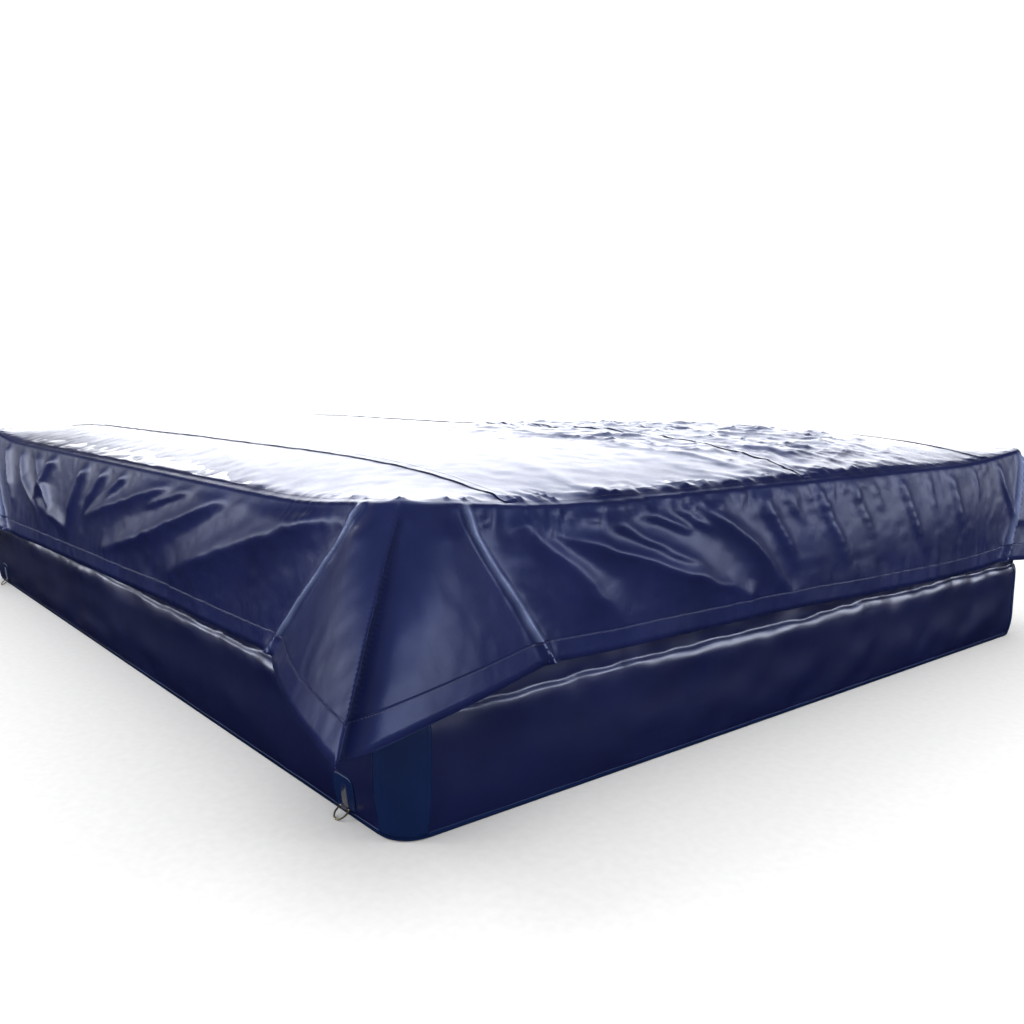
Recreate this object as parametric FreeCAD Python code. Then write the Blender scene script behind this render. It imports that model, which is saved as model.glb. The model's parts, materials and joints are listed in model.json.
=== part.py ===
import FreeCAD, Part
import math
import os

# Inflatable crash landing mat with a loose top cover that hangs over its sides.
# Frame: millimetres, +Z up, origin at the middle of the underside, X along the long side.
# "Reach" is the distance outwards from a nominal side face, so 0 lies on the face itself.

V = FreeCAD.Vector
os.makedirs("parts", exist_ok=True)

# Driving dimensions of the mat
LENGTH = 5000.0
WIDTH = 4000.0
EDGE_HEIGHT = 950.0
CROWN_RISE = 140.0
CROWN_POWER = 6
CORNER_RADIUS = 120.0
SHEET = 4.0
FIT_GAP = 2.0

# Section of the side walls, which bulge twice: below and above the middle sheet
WAIST_HEIGHT = 500.0
FOOT_REACH = -20.0
WAIST_REACH = -60.0
TOP_REACH = -45.0
UPPER_BULGE_REACH = -6.0
WALL_ABOVE_EDGE = 30.0
LOWER_BULGE_HEIGHT = 250.0
UPPER_BULGE_HEIGHT = 730.0

# Top cover
HEM_HEIGHT = 420.0
EAR_LENGTH = 540.0
EAR_TIP_OUT = 300.0
EAR_TIP_HEIGHT = 360.0
COVER_SEAMS_Y = (-1550.0, 0.0, 1550.0)
SEAM_TAPE_WIDTH = 60.0
SEAM_TAPE = 1.5

# Hook and loop strips that hold the cover on the walls
GRIP_WIDTH = 60.0
GRIP_SHEET = 2.0
GRIP_INSET = 300.0

# Baffles inside the air chambers
BAFFLE_STEP = 1250.0
BAFFLE_END_GAP = 250.0

# Inflation sleeve on the back wall
SLEEVE_X = 1600.0
SLEEVE_BORE = 120.0
SLEEVE_INNER_Y = 1930.0
SLEEVE_MOUTH_Y = 2300.0
COLLAR_RADIUS = 180.0
COLLAR_SHEET = 3.0
STRAP_Y = 2210.0
STRAP_WIDTH = 40.0
STRAP_SHEET = 3.0

# Deflation zip on the back wall, under a flap
ZIP_MIDDLE_X = -1200.0
ZIP_LENGTH = 1000.0
ZIP_TAPE_WIDTH = 60.0
ZIP_TAPE = 1.5
TEETH_WIDTH = 9.0
TEETH_DEPTH = 4.0
ZIP_END_MARGIN = 10.0
SLIDER_SIZE = (34.0, 5.0, 18.0)
SLIDER_GAP = 0.5
STUD_RADIUS = 1.5
STUD_HEAD_RADIUS = 3.0
STUD_HEAD = 1.0
PULLER_SIZE = (10.0, 1.6, 30.0)
PULLER_GAP = 0.4
FLAP_MARGIN = 60.0
FLAP_SECTION = ((-3.0, 315.0), (18.0, 292.0), (18.0, 205.0), (21.0, 205.0), (21.0, 293.0), (-1.0, 317.0))

# Anchor points on the long sides
ANCHOR_INSET = 300.0
PATCH_SIZE = 120.0
PATCH_SHEET = 3.0
PATCH_BOTTOM = 20.0
WEBBING_WIDTH = 40.0
WEBBING_SHEET = 2.5
WEBBING_TOP = 115.0
RING_AXIS_HEIGHT = 30.0
RING_WIRE = 3.0
RING_EYE = 25.0
RING_LEG = 15.0
RING_ABOVE_FLOOR = 0.5
LOOP_BORE = 3.6
LOOP_OUTER = 6.0


def save(node, shape):
    shape.exportStep("parts/" + node + ".step")


def box(low, high):
    size = high - low
    return Part.makeBox(size.x, size.y, size.z, low)


def half_length(reach):
    return LENGTH / 2 + reach


def half_width(reach):
    return WIDTH / 2 + reach


def rounded_plate(reach, low_z, high_z):
    """A level plate whose rounded outline lies at the given reach."""
    low = V(-half_length(reach), -half_width(reach), low_z)
    plate = box(low, V(half_length(reach), half_width(reach), high_z))
    uprights = [e for e in plate.Edges if abs(e.tangentAt(e.FirstParameter).z) > 0.9]
    return plate.makeFillet(CORNER_RADIUS + reach, uprights)


def crown_height(x, y):
    """Height of the chamber's top surface, a flat-topped pillow that falls to its edge."""
    across = 1 - abs(x / half_length(SHEET)) ** CROWN_POWER
    along = 1 - abs(y / half_width(SHEET)) ** CROWN_POWER
    return EDGE_HEIGHT + CROWN_RISE * across * along


def crown_face(lift):
    """The crowned surface, raised by lift, reaching a little past every side."""
    steps_x = 30
    steps_y = 24
    over = 10.0
    rows = []
    for i in range(steps_x + 1):
        x = (2.0 * i / steps_x - 1) * half_length(over)
        row = []
        for j in range(steps_y + 1):
            y = (2.0 * j / steps_y - 1) * half_width(over)
            row.append(V(x, y, crown_height(x, y) + lift))
        rows.append(row)
    surface = Part.BSplineSurface()
    surface.interpolate(rows)
    return surface.toShape()


def crowned_sheet(lift, thickness):
    """A sheet that lies on the crown, from lift above it to lift plus thickness."""
    return crown_face(lift).extrude(V(0, 0, thickness))


# ---- side walls ----

def bulge_points(low_z, high_z, shift):
    """Foot, widest point and top of one bulge in the wall's section, as (reach, height)."""
    if low_z < WAIST_HEIGHT:
        reaches = (FOOT_REACH, 0.0, WAIST_REACH)
        middle = LOWER_BULGE_HEIGHT
    else:
        reaches = (WAIST_REACH, UPPER_BULGE_REACH, TOP_REACH)
        middle = UPPER_BULGE_HEIGHT
    heights = (low_z, middle, high_z)
    return [(reach + shift, height) for reach, height in zip(reaches, heights)]


def bulge_face(low_z, high_z, inner, outer, place):
    """Section of a curved layer, from inner to outer of the wall's outside."""
    outside = [place(*p) for p in bulge_points(low_z, high_z, outer)]
    inside = [place(*p) for p in bulge_points(low_z, high_z, inner)]
    edges = [
        Part.Arc(*outside).toShape(),
        Part.LineSegment(outside[2], inside[2]).toShape(),
        Part.Arc(*reversed(inside)).toShape(),
        Part.LineSegment(inside[0], outside[0]).toShape(),
    ]
    return Part.Face(Part.Wire(edges))


LOWER = (SHEET, WAIST_HEIGHT - SHEET / 2)
UPPER = (WAIST_HEIGHT + SHEET / 2, EDGE_HEIGHT + WALL_ABOVE_EDGE)
UNDER_CROWN = crown_face(-SHEET).extrude(V(0, 0, -EDGE_HEIGHT))


def side_layer(side, level, inner, outer):
    """A curved layer along one whole side, between its two corner strips."""
    run_x = LENGTH / 2 - CORNER_RADIUS
    run_y = WIDTH / 2 - CORNER_RADIUS
    if side in ("front", "back"):
        sign = -1 if side == "front" else 1
        face = bulge_face(*level, inner, outer, lambda r, z: V(-run_x, sign * half_width(r), z))
        return face.extrude(V(2 * run_x, 0, 0))
    sign = -1 if side == "left" else 1
    face = bulge_face(*level, inner, outer, lambda r, z: V(sign * half_length(r), -run_y, z))
    return face.extrude(V(0, 2 * run_y, 0))


def corner_layer(level):
    """The quarter-round corner strip at +X, +Y, at one level."""
    centre_x = LENGTH / 2 - CORNER_RADIUS
    centre_y = WIDTH / 2 - CORNER_RADIUS
    face = bulge_face(*level, -SHEET, 0.0, lambda r, z: V(half_length(r), centre_y, z))
    return face.revolve(V(centre_x, centre_y, 0), V(0, 0, 1), 90)


def at_corner(shape, side_x, side_y):
    """A shape made at the +X, +Y corner, mirrored to the corner of the given signs."""
    placed = shape
    if side_x < 0:
        placed = placed.mirror(V(0, 0, 0), V(1, 0, 0))
    if side_y < 0:
        placed = placed.mirror(V(0, 0, 0), V(0, 1, 0))
    return placed


CORNERS = {
    "front_left": (-1, -1),
    "front_right": (1, -1),
    "back_left": (-1, 1),
    "back_right": (1, 1),
}
SIDES = ("front", "back", "left", "right")


def corner_strips():
    band = corner_layer(LOWER).fuse(corner_layer(UPPER))
    centre = V(LENGTH / 2 - CORNER_RADIUS, WIDTH / 2 - CORNER_RADIUS, WAIST_HEIGHT - SHEET / 2)
    outer = Part.makeCylinder(CORNER_RADIUS + WAIST_REACH, SHEET, centre, V(0, 0, 1), 90)
    inner = Part.makeCylinder(CORNER_RADIUS + WAIST_REACH - SHEET, SHEET, centre, V(0, 0, 1), 90)
    band = band.fuse(outer.cut(inner)).removeSplitter().common(UNDER_CROWN)
    for name, signs in CORNERS.items():
        save("corner_strip_" + name, at_corner(band, *signs))


def sleeve_hole(radius):
    return Part.makeCylinder(radius, 200, V(SLEEVE_X, WIDTH / 2 - 100, LOWER_BULGE_HEIGHT), V(0, 1, 0))


def walls():
    for side in SIDES:
        lower = side_layer(side, LOWER, -SHEET, 0.0)
        if side == "back":
            lower = lower.cut(sleeve_hole(SLEEVE_BORE + SHEET)).cut(zip_slot())
        save("lower_wall_" + side, lower)
        save("upper_wall_" + side, side_layer(side, UPPER, -SHEET, 0.0).common(UNDER_CROWN))


def level_sheets():
    save("floor_sheet", rounded_plate(FOOT_REACH + 10, 0, SHEET))
    low_z = WAIST_HEIGHT - SHEET / 2
    save("middle_sheet", rounded_plate(WAIST_REACH - SHEET, low_z, low_z + SHEET))
    outline = rounded_plate(TOP_REACH, 0, 2 * EDGE_HEIGHT)
    save("top_sheet", crowned_sheet(-SHEET, SHEET).common(outline))


def baffles():
    """Upright tie sheets across each chamber, short of the side walls so that air passes."""
    reach_y = half_width(TOP_REACH) - BAFFLE_END_GAP
    for number, step in enumerate((-1, 0, 1), 1):
        middle = step * BAFFLE_STEP
        low = V(middle - SHEET / 2, -reach_y, LOWER[0])
        high = V(middle + SHEET / 2, reach_y, LOWER[1])
        save("lower_baffle_%d" % number, box(low, high))
        low = V(middle - SHEET / 2, -reach_y, UPPER[0])
        high = V(middle + SHEET / 2, reach_y, 2 * EDGE_HEIGHT)
        save("upper_baffle_%d" % number, box(low, high).common(UNDER_CROWN))


# ---- inflation sleeve ----

def tube(bore, outer, start_y, length):
    centre = V(SLEEVE_X, start_y, LOWER_BULGE_HEIGHT)
    return Part.makeCylinder(outer, length, centre, V(0, 1, 0)).cut(
        Part.makeCylinder(bore, length, centre, V(0, 1, 0))
    )


def inflation_sleeve():
    outside = SLEEVE_BORE + SHEET
    save("inflation_sleeve", tube(SLEEVE_BORE, outside, SLEEVE_INNER_Y, SLEEVE_MOUTH_Y - SLEEVE_INNER_Y))
    layer = side_layer("back", LOWER, 0.0, COLLAR_SHEET)
    ring = sleeve_hole(COLLAR_RADIUS).cut(sleeve_hole(outside))
    save("sleeve_collar", layer.common(ring))
    strap = tube(outside, outside + STRAP_SHEET, STRAP_Y, STRAP_WIDTH)
    tail_low = V(SLEEVE_X + outside + STRAP_SHEET, STRAP_Y, LOWER_BULGE_HEIGHT - 2 * STRAP_WIDTH)
    tail = box(tail_low - V(STRAP_SHEET, 0, 0), tail_low + V(0, STRAP_WIDTH, 2 * STRAP_WIDTH))
    core = Part.makeCylinder(outside, STRAP_WIDTH, V(SLEEVE_X, STRAP_Y, LOWER_BULGE_HEIGHT), V(0, 1, 0))
    save("sleeve_strap", strap.fuse(tail.cut(core)))


# ---- deflation zip ----

def zip_box(length, height, low_reach, high_reach):
    low = V(ZIP_MIDDLE_X - length / 2, half_width(low_reach), LOWER_BULGE_HEIGHT - height / 2)
    high = V(ZIP_MIDDLE_X + length / 2, half_width(high_reach), LOWER_BULGE_HEIGHT + height / 2)
    return box(low, high)


def zip_slot():
    """The slit in the back wall that the zip closes."""
    return zip_box(ZIP_LENGTH, TEETH_WIDTH, -3 * SHEET, SHEET)


def deflation_zip():
    layer = side_layer("back", LOWER, 0.0, ZIP_TAPE)
    band = zip_box(ZIP_LENGTH + 60, ZIP_TAPE_WIDTH, -SHEET, 2 * SHEET)
    opening = zip_box(2 * ZIP_LENGTH, TEETH_WIDTH, -SHEET, 2 * SHEET)
    save("zip_tapes", layer.common(band).cut(opening))
    save("zip_teeth", zip_box(ZIP_LENGTH, TEETH_WIDTH, -SHEET / 2, ZIP_TAPE + TEETH_DEPTH))


def zip_slider_and_puller():
    """The slider straddles the teeth, and its puller hangs on a headed stud."""
    length, depth, height = SLIDER_SIZE
    start_x = ZIP_MIDDLE_X - ZIP_LENGTH / 2 + ZIP_END_MARGIN
    back_y = half_width(ZIP_TAPE + TEETH_DEPTH + SLIDER_GAP)
    face_y = back_y + depth
    middle_z = LOWER_BULGE_HEIGHT
    low_z = middle_z - height / 2
    body = box(V(start_x, back_y, low_z), V(start_x + length, face_y, low_z + height))
    lip_height = (height - TEETH_WIDTH) / 2 - SLIDER_GAP
    lip_depth = TEETH_DEPTH - SLIDER_GAP
    for lip_z in (low_z, low_z + height - lip_height):
        lip_low = V(start_x, back_y - lip_depth, lip_z)
        body = body.fuse(box(lip_low, lip_low + V(length, lip_depth, lip_height)))
    pull_width, pull_thick, pull_length = PULLER_SIZE
    stud_length = pull_thick + 2 * PULLER_GAP
    centre = V(start_x + length / 2, face_y, middle_z)
    outwards = V(0, 1, 0)
    stud = Part.makeCylinder(STUD_RADIUS, stud_length, centre, outwards)
    head = Part.makeCylinder(STUD_HEAD_RADIUS, STUD_HEAD, centre + outwards * stud_length, outwards)
    save("zip_slider", body.fuse(stud).fuse(head).removeSplitter())

    hang = centre + outwards * PULLER_GAP
    eye = Part.makeCylinder(pull_width / 2, pull_thick, hang, outwards)
    tab_low = hang - V(pull_width / 2, 0, pull_length)
    tab = box(tab_low, tab_low + V(pull_width, pull_thick, pull_length))
    hole = Part.makeCylinder(STUD_RADIUS + 0.1, pull_thick, hang, outwards)
    save("zip_puller", eye.fuse(tab).cut(hole).removeSplitter())


def zip_flap():
    """A bent storm flap that hangs from its top edge, in front of the slider."""
    low_x = ZIP_MIDDLE_X - ZIP_LENGTH / 2 - FLAP_MARGIN
    points = [V(low_x, half_width(reach), height) for reach, height in FLAP_SECTION]
    section = Part.Face(Part.makePolygon(points + points[:1]))
    save("zip_flap", section.extrude(V(ZIP_LENGTH + 2 * FLAP_MARGIN, 0, 0)))


# ---- anchor points ----

def front_box(middle_x, width, low_z, high_z):
    low = V(middle_x - width / 2, -half_width(100), low_z)
    return box(low, V(middle_x + width / 2, -half_width(-100), high_z))


def ring_axis_y(wall_reach):
    """How far out the ring's bar lies, on top of the patch and its own webbing loop."""
    lean = 1.03
    return -half_width(wall_reach + (PATCH_SHEET + LOOP_OUTER) * lean)


def wall_reach_at(height):
    """Reach of the lower bulge at a height, from the circle through its three points."""
    (r0, z0), (r1, z1), (r2, z2) = bulge_points(*LOWER, 0.0)
    circle = Part.Arc(V(r0, z0, 0), V(r1, z1, 0), V(r2, z2, 0)).toShape().Curve
    return circle.Center.x + math.sqrt(circle.Radius ** 2 - (height - circle.Center.y) ** 2)


def anchor_patch(middle_x):
    layer = side_layer("front", LOWER, 0.0, PATCH_SHEET)
    return layer.common(front_box(middle_x, PATCH_SIZE, PATCH_BOTTOM, PATCH_BOTTOM + PATCH_SIZE))


def anchor_webbing(middle_x):
    """A webbing tail stitched to the patch, with a loop at its foot round the ring's bar."""
    layer = side_layer("front", LOWER, PATCH_SHEET, PATCH_SHEET + WEBBING_SHEET)
    tail = layer.common(front_box(middle_x, WEBBING_WIDTH, RING_AXIS_HEIGHT, WEBBING_TOP))
    start = V(middle_x - WEBBING_WIDTH / 2, ring_axis_y(wall_reach_at(RING_AXIS_HEIGHT)), RING_AXIS_HEIGHT)
    outer = Part.makeCylinder(LOOP_OUTER, WEBBING_WIDTH, start, V(1, 0, 0))
    bore = Part.makeCylinder(LOOP_BORE, WEBBING_WIDTH, start, V(1, 0, 0))
    patch = side_layer("front", LOWER, 0.0, PATCH_SHEET)
    return tail.fuse(outer).cut(bore).cut(patch)


def anchor_ring(middle_x):
    """A D-ring bent from round wire, which leans outwards from its bar to the floor."""
    y = ring_axis_y(wall_reach_at(RING_AXIS_HEIGHT))
    side = RING_EYE + RING_WIRE
    top = RING_AXIS_HEIGHT
    low = top - RING_LEG
    right_top = V(middle_x + side, y, top)
    right_low = V(middle_x + side, y, low)
    bottom = V(middle_x, y, low - side)
    left_low = V(middle_x - side, y, low)
    left_top = V(middle_x - side, y, top)
    path = Part.Wire([
        Part.LineSegment(right_top, right_low).toShape(),
        Part.Arc(right_low, bottom, left_low).toShape(),
        Part.LineSegment(left_low, left_top).toShape(),
    ])
    section = Part.Wire(Part.makeCircle(RING_WIRE, right_top, V(0, 0, 1)))
    bow = path.makePipeShell([section], True, False)
    bar = Part.makeCylinder(RING_WIRE, 2 * side, left_top, V(1, 0, 0))
    knees = Part.makeSphere(RING_WIRE, left_top).fuse(Part.makeSphere(RING_WIRE, right_top))
    ring = bow.fuse(bar).fuse(knees)
    drop = RING_AXIS_HEIGHT - RING_WIRE - RING_ABOVE_FLOOR
    out_of_upright = math.acos(drop / (RING_LEG + side))
    ring.rotate(left_top, V(1, 0, 0), -math.degrees(out_of_upright))
    return ring


def anchors():
    makers = {"anchor_patch_": anchor_patch, "anchor_webbing_": anchor_webbing, "anchor_ring_": anchor_ring}
    for prefix, maker in makers.items():
        for name, (side_x, side_y) in CORNERS.items():
            shape = maker(side_x * (LENGTH / 2 - ANCHOR_INSET))
            if side_y > 0:
                shape = shape.mirror(V(0, 0, 0), V(0, 1, 0))
            save(prefix + name, shape)


# ---- top cover ----

SKIRT_TOP = EDGE_HEIGHT + FIT_GAP


def cover_strips():
    """The cover's top, cut from four strips of sheet, with a tape over each seam."""
    outline = rounded_plate(SHEET, 0, 2 * EDGE_HEIGHT)
    top = crowned_sheet(FIT_GAP, SHEET).common(outline)
    limits = (-half_width(50),) + COVER_SEAMS_Y + (half_width(50),)
    for number, (low_y, high_y) in enumerate(zip(limits, limits[1:]), 1):
        strip = box(V(-LENGTH, low_y, 0), V(LENGTH, high_y, 2 * EDGE_HEIGHT))
        save("cover_strip_%d" % number, top.common(strip))
    layer = crowned_sheet(FIT_GAP + SHEET, SEAM_TAPE).common(rounded_plate(0, 0, 2 * EDGE_HEIGHT))
    for number, middle_y in enumerate(COVER_SEAMS_Y, 1):
        low = V(-LENGTH, middle_y - SEAM_TAPE_WIDTH / 2, 0)
        high = V(LENGTH, middle_y + SEAM_TAPE_WIDTH / 2, 2 * EDGE_HEIGHT)
        save("cover_seam_tape_%d" % number, layer.common(box(low, high)))


def skirt(half_run, face_at, outwards):
    """A hanging side whose ends slope in to meet the loose corner folds."""
    top_run = half_run - CORNER_RADIUS
    low_run = half_run - EAR_LENGTH
    points = [
        face_at(-top_run, SKIRT_TOP),
        face_at(-low_run, HEM_HEIGHT),
        face_at(low_run, HEM_HEIGHT),
        face_at(top_run, SKIRT_TOP),
    ]
    outline = Part.makePolygon(points + points[:1])
    return Part.Face(outline).extrude(outwards)


def skirts():
    for side in SIDES:
        sign = 1 if side in ("back", "right") else -1
        if side in ("front", "back"):
            shape = skirt(LENGTH / 2, lambda s, z: V(s, sign * WIDTH / 2, z), V(0, sign * SHEET, 0))
        else:
            shape = skirt(WIDTH / 2, lambda s, z: V(sign * LENGTH / 2, s, z), V(sign * SHEET, 0, 0))
        save("cover_skirt_" + side, shape)


def ear():
    """The loose corner fold at +X, +Y: two sloping facets that meet along a diagonal crease."""
    a_top = V(LENGTH / 2 - CORNER_RADIUS, WIDTH / 2, SKIRT_TOP)
    b_top = V(LENGTH / 2, WIDTH / 2 - CORNER_RADIUS, SKIRT_TOP)
    a_low = V(LENGTH / 2 - EAR_LENGTH, WIDTH / 2, HEM_HEIGHT)
    b_low = V(LENGTH / 2, WIDTH / 2 - EAR_LENGTH, HEM_HEIGHT)
    round_top = V(LENGTH / 2 - CORNER_RADIUS * 0.293, WIDTH / 2 - CORNER_RADIUS * 0.293, SKIRT_TOP)
    tip = V(LENGTH / 2 + EAR_TIP_OUT, WIDTH / 2 + EAR_TIP_OUT, EAR_TIP_HEIGHT)
    inside = [a_top, round_top, b_top, b_low, tip, a_low]
    over_x = V(SHEET, 0, 0)
    over_y = V(0, SHEET, 0)
    shifts = [over_y, (over_x + over_y) * 0.7, over_x, over_x, over_x + over_y, over_y]
    outside = [p + s for p, s in zip(inside, shifts)]

    def triangle(p, q, r):
        return Part.Face(Part.makePolygon([p, q, r, p]))

    faces = []
    for layer in (inside, outside):
        a, m, b, bl, t, al = layer
        faces += [triangle(a, m, t), triangle(m, b, t), triangle(b, bl, t), triangle(a, t, al)]
    count = len(inside)
    for i in range(count):
        j = (i + 1) % count
        faces.append(triangle(inside[i], inside[j], outside[j]))
        faces.append(triangle(inside[i], outside[j], outside[i]))
    solid = Part.Solid(Part.Shell(faces))
    if solid.Volume < 0:
        solid.reverse()
    return solid


def ears():
    shape = ear()
    for name, signs in CORNERS.items():
        save("cover_ear_" + name, at_corner(shape, *signs))


# ---- hook and loop strips ----

def grip_run(side):
    half = LENGTH / 2 if side in ("front", "back") else WIDTH / 2
    return half - GRIP_INSET


def grip_box(side, low_reach, high_reach):
    sign = 1 if side in ("back", "right") else -1
    run = grip_run(side)
    low_z = UPPER_BULGE_HEIGHT - GRIP_WIDTH / 2
    if side in ("front", "back"):
        ends = sorted((sign * half_width(low_reach), sign * half_width(high_reach)))
        return box(V(-run, ends[0], low_z), V(run, ends[1], low_z + GRIP_WIDTH))
    ends = sorted((sign * half_length(low_reach), sign * half_length(high_reach)))
    return box(V(ends[0], -run, low_z), V(ends[1], run, low_z + GRIP_WIDTH))


def grip_strips():
    hooks = []
    loops = []
    for side in SIDES:
        layer = side_layer(side, UPPER, 0.0, GRIP_SHEET)
        hooks.append(layer.common(grip_box(side, UPPER_BULGE_REACH - 20, 0)))
        loops.append(grip_box(side, -GRIP_SHEET, 0.0))
    save("hook_strips", Part.makeCompound(hooks))
    save("loop_strips", Part.makeCompound(loops))


level_sheets()
walls()
corner_strips()
baffles()
inflation_sleeve()
deflation_zip()
zip_slider_and_puller()
zip_flap()
anchors()
cover_strips()
skirts()
ears()
grip_strips()
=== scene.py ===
import json
import math

import bpy
import numpy as np
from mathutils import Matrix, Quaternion, Vector

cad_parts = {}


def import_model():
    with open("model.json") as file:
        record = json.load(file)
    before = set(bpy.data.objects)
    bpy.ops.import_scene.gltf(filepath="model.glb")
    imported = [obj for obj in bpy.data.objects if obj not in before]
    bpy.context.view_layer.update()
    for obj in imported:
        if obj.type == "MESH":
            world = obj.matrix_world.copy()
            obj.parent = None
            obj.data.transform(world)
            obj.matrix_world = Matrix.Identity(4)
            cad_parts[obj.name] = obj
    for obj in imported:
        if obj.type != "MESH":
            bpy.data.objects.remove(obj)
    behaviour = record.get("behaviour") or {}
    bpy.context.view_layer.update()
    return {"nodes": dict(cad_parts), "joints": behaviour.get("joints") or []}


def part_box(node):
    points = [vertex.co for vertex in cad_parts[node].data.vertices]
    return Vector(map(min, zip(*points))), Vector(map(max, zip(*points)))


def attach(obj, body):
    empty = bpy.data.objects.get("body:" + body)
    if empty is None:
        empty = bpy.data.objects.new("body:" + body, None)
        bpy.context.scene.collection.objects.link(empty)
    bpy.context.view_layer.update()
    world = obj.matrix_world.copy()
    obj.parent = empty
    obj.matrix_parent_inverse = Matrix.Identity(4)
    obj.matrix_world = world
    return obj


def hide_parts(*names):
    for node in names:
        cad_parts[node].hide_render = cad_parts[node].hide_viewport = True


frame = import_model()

# Inflatable crash landing mat: a glossy air chamber under a loose coated-fabric cover.
# Metres, +Z up, origin at the middle of the underside, X along the long side.

# ---- sizes that come from the frame ----

SKIRT_FRONT_LOW, SKIRT_FRONT_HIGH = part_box("cover_skirt_front")
HALF_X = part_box("cover_skirt_right")[0].x
HALF_Y = -SKIRT_FRONT_HIGH.y
HEM_Z = SKIRT_FRONT_LOW.z
ZIP_LOW, ZIP_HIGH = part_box("zip_tapes")
EDGE_Z, CROWN_TOP = [corner.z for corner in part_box("top_sheet")]
WAIST_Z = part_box("middle_sheet")[0].z
WAIST_IN = HALF_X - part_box("middle_sheet")[1].x
CORNER_R = HALF_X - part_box("lower_wall_front")[1].x
GRIP_LOW_Z, GRIP_HIGH_Z = [corner.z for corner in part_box("hook_strips")]
SEAM_YS = [sum(corner.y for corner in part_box("cover_seam_tape_%d" % n)) / 2 for n in (1, 2, 3)]
CORNERS = {"front_left": (-1, -1), "front_right": (1, -1), "back_left": (-1, 1), "back_right": (1, 1)}
SIDE_OUT = {"front": (0, -1, 0), "back": (0, 1, 0), "left": (-1, 0, 0), "right": (1, 0, 0)}


def is_long(side):
    """Whether a side runs along X."""
    return SIDE_OUT[side][0] == 0


def side_sign(side):
    return sum(SIDE_OUT[side])


def side_halves(side):
    """Half a side's length, and its distance from the middle."""
    return (HALF_X, HALF_Y) if is_long(side) else (HALF_Y, HALF_X)


# ---- small numeric helpers ----

NOISE_SIZE = 64
# Far from zero, so that no coordinate is negative, and off the lattice's own points.
NOISE_SHIFT_X, NOISE_SHIFT_Y = 1000.37, 1000.71


def smooth(t):
    t = np.clip(t, 0.0, 1.0)
    return t * t * (3.0 - 2.0 * t)


def bell(t):
    return np.exp(-t ** 2)


def noise(x, y, cell, seed):
    """Smooth value noise, from -1 to 1, with the given cell size."""
    table = np.random.RandomState(seed).uniform(-1.0, 1.0, (NOISE_SIZE, NOISE_SIZE))
    gx = np.asarray(x, float) / cell + NOISE_SHIFT_X
    gy = np.asarray(y, float) / cell + NOISE_SHIFT_Y
    ix, iy = np.floor(gx).astype(int), np.floor(gy).astype(int)
    fx, fy = smooth(gx - ix), smooth(gy - iy)
    (a, c), (b, d) = [[table[(ix + i) % NOISE_SIZE, (iy + j) % NOISE_SIZE] for j in (0, 1)] for i in (0, 1)]
    return (a * (1 - fx) + b * fx) * (1 - fy) + (c * (1 - fx) + d * fx) * fy


def ridges(x, y, cell, seed):
    """Sharp-crested noise from 0 to 1, like creases in a stiff sheet."""
    return (1.0 - np.abs(noise(x, y, cell, seed))) ** 3


def new_mesh(name, points, faces, smooth_shade=True):
    mesh = bpy.data.meshes.new(name)
    mesh.from_pydata([tuple(p) for p in points], [], [tuple(f) for f in faces])
    mesh.update()
    if smooth_shade:
        mesh.polygons.foreach_set("use_smooth", [True] * len(mesh.polygons))
    piece = bpy.data.objects.new(name, mesh)
    bpy.context.scene.collection.objects.link(piece)
    return piece


def repeated(pattern, count, size):
    """The same few faces again for every group of points, size points to a group."""
    return [tuple(size * n + k for k in face) for n in range(count) for face in pattern]


def grid_faces(rows, columns, offset=0, flip=False, wrap=False):
    """Quads of a grid of points stored row by row; wrap closes each row on itself."""
    last = columns if wrap else columns - 1
    i, j = np.meshgrid(np.arange(rows - 1), np.arange(last), indexing="ij")
    k = (j + 1) % columns
    quads = np.stack([i * columns + j, (i + 1) * columns + j, (i + 1) * columns + k, i * columns + k], -1)
    quads = quads.reshape(-1, 4) + offset
    return quads[:, ::-1] if flip else quads


def grid_normals(points):
    normals = np.cross(np.gradient(points, axis=0), np.gradient(points, axis=1))
    return normals / (np.linalg.norm(normals, axis=2, keepdims=True) + 1e-12)


def oriented(grid, out):
    """A grid and its normals, the grid turned over if its normals don't face the way out."""
    normals = grid_normals(grid)
    if (normals * np.asarray(out)).sum() < 0:
        grid = grid[:, ::-1]
        normals = grid_normals(grid)
    return grid, normals


def closed_strip(outer, inner, wrap=False):
    """Points and faces of a thin closed strip between two grids of the same shape."""
    rows, columns = outer.shape[:2]
    points = np.concatenate([outer.reshape(-1, 3), inner.reshape(-1, 3)])
    count = rows * columns
    low = count - columns
    rim = []
    for j in range(columns if wrap else columns - 1):
        k = (j + 1) % columns
        rim.append((k, count + k, count + j, j))
        rim.append((low + j, count + low + j, count + low + k, low + k))
    for a in range(0, 0 if wrap else low, columns):
        b = a + columns
        rim.append((a, count + a, count + b, b))
        a, b = a + columns - 1, b + columns - 1
        rim.append((b, count + b, count + a, a))
    faces = [grid_faces(rows, columns, wrap=wrap), grid_faces(rows, columns, count, flip=True, wrap=wrap)]
    return points, np.concatenate([*faces, np.array(rim)])


def slab(name, outer, normals, thickness, wrap=False):
    """A thin closed strip: the outer grid, and the same grid set back along its normals."""
    return new_mesh(name, *closed_strip(outer, outer - normals * thickness, wrap))


# ---- materials ----

def wire(tree, node, feeds, **values):
    """Gives a node's sockets their own values, and links other nodes' outputs to them."""
    for key, value in values.items():
        node.inputs[key.replace("_", " ")].default_value = value
    for key, source in feeds.items():
        tree.links.new(source, node.inputs[key])
    return node


def add_node(tree, kind, feeds, settings=None, **values):
    node = tree.nodes.new(kind)
    for key, value in (settings or {}).items():
        setattr(node, key, value)
    return wire(tree, node, feeds, **values)


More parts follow.
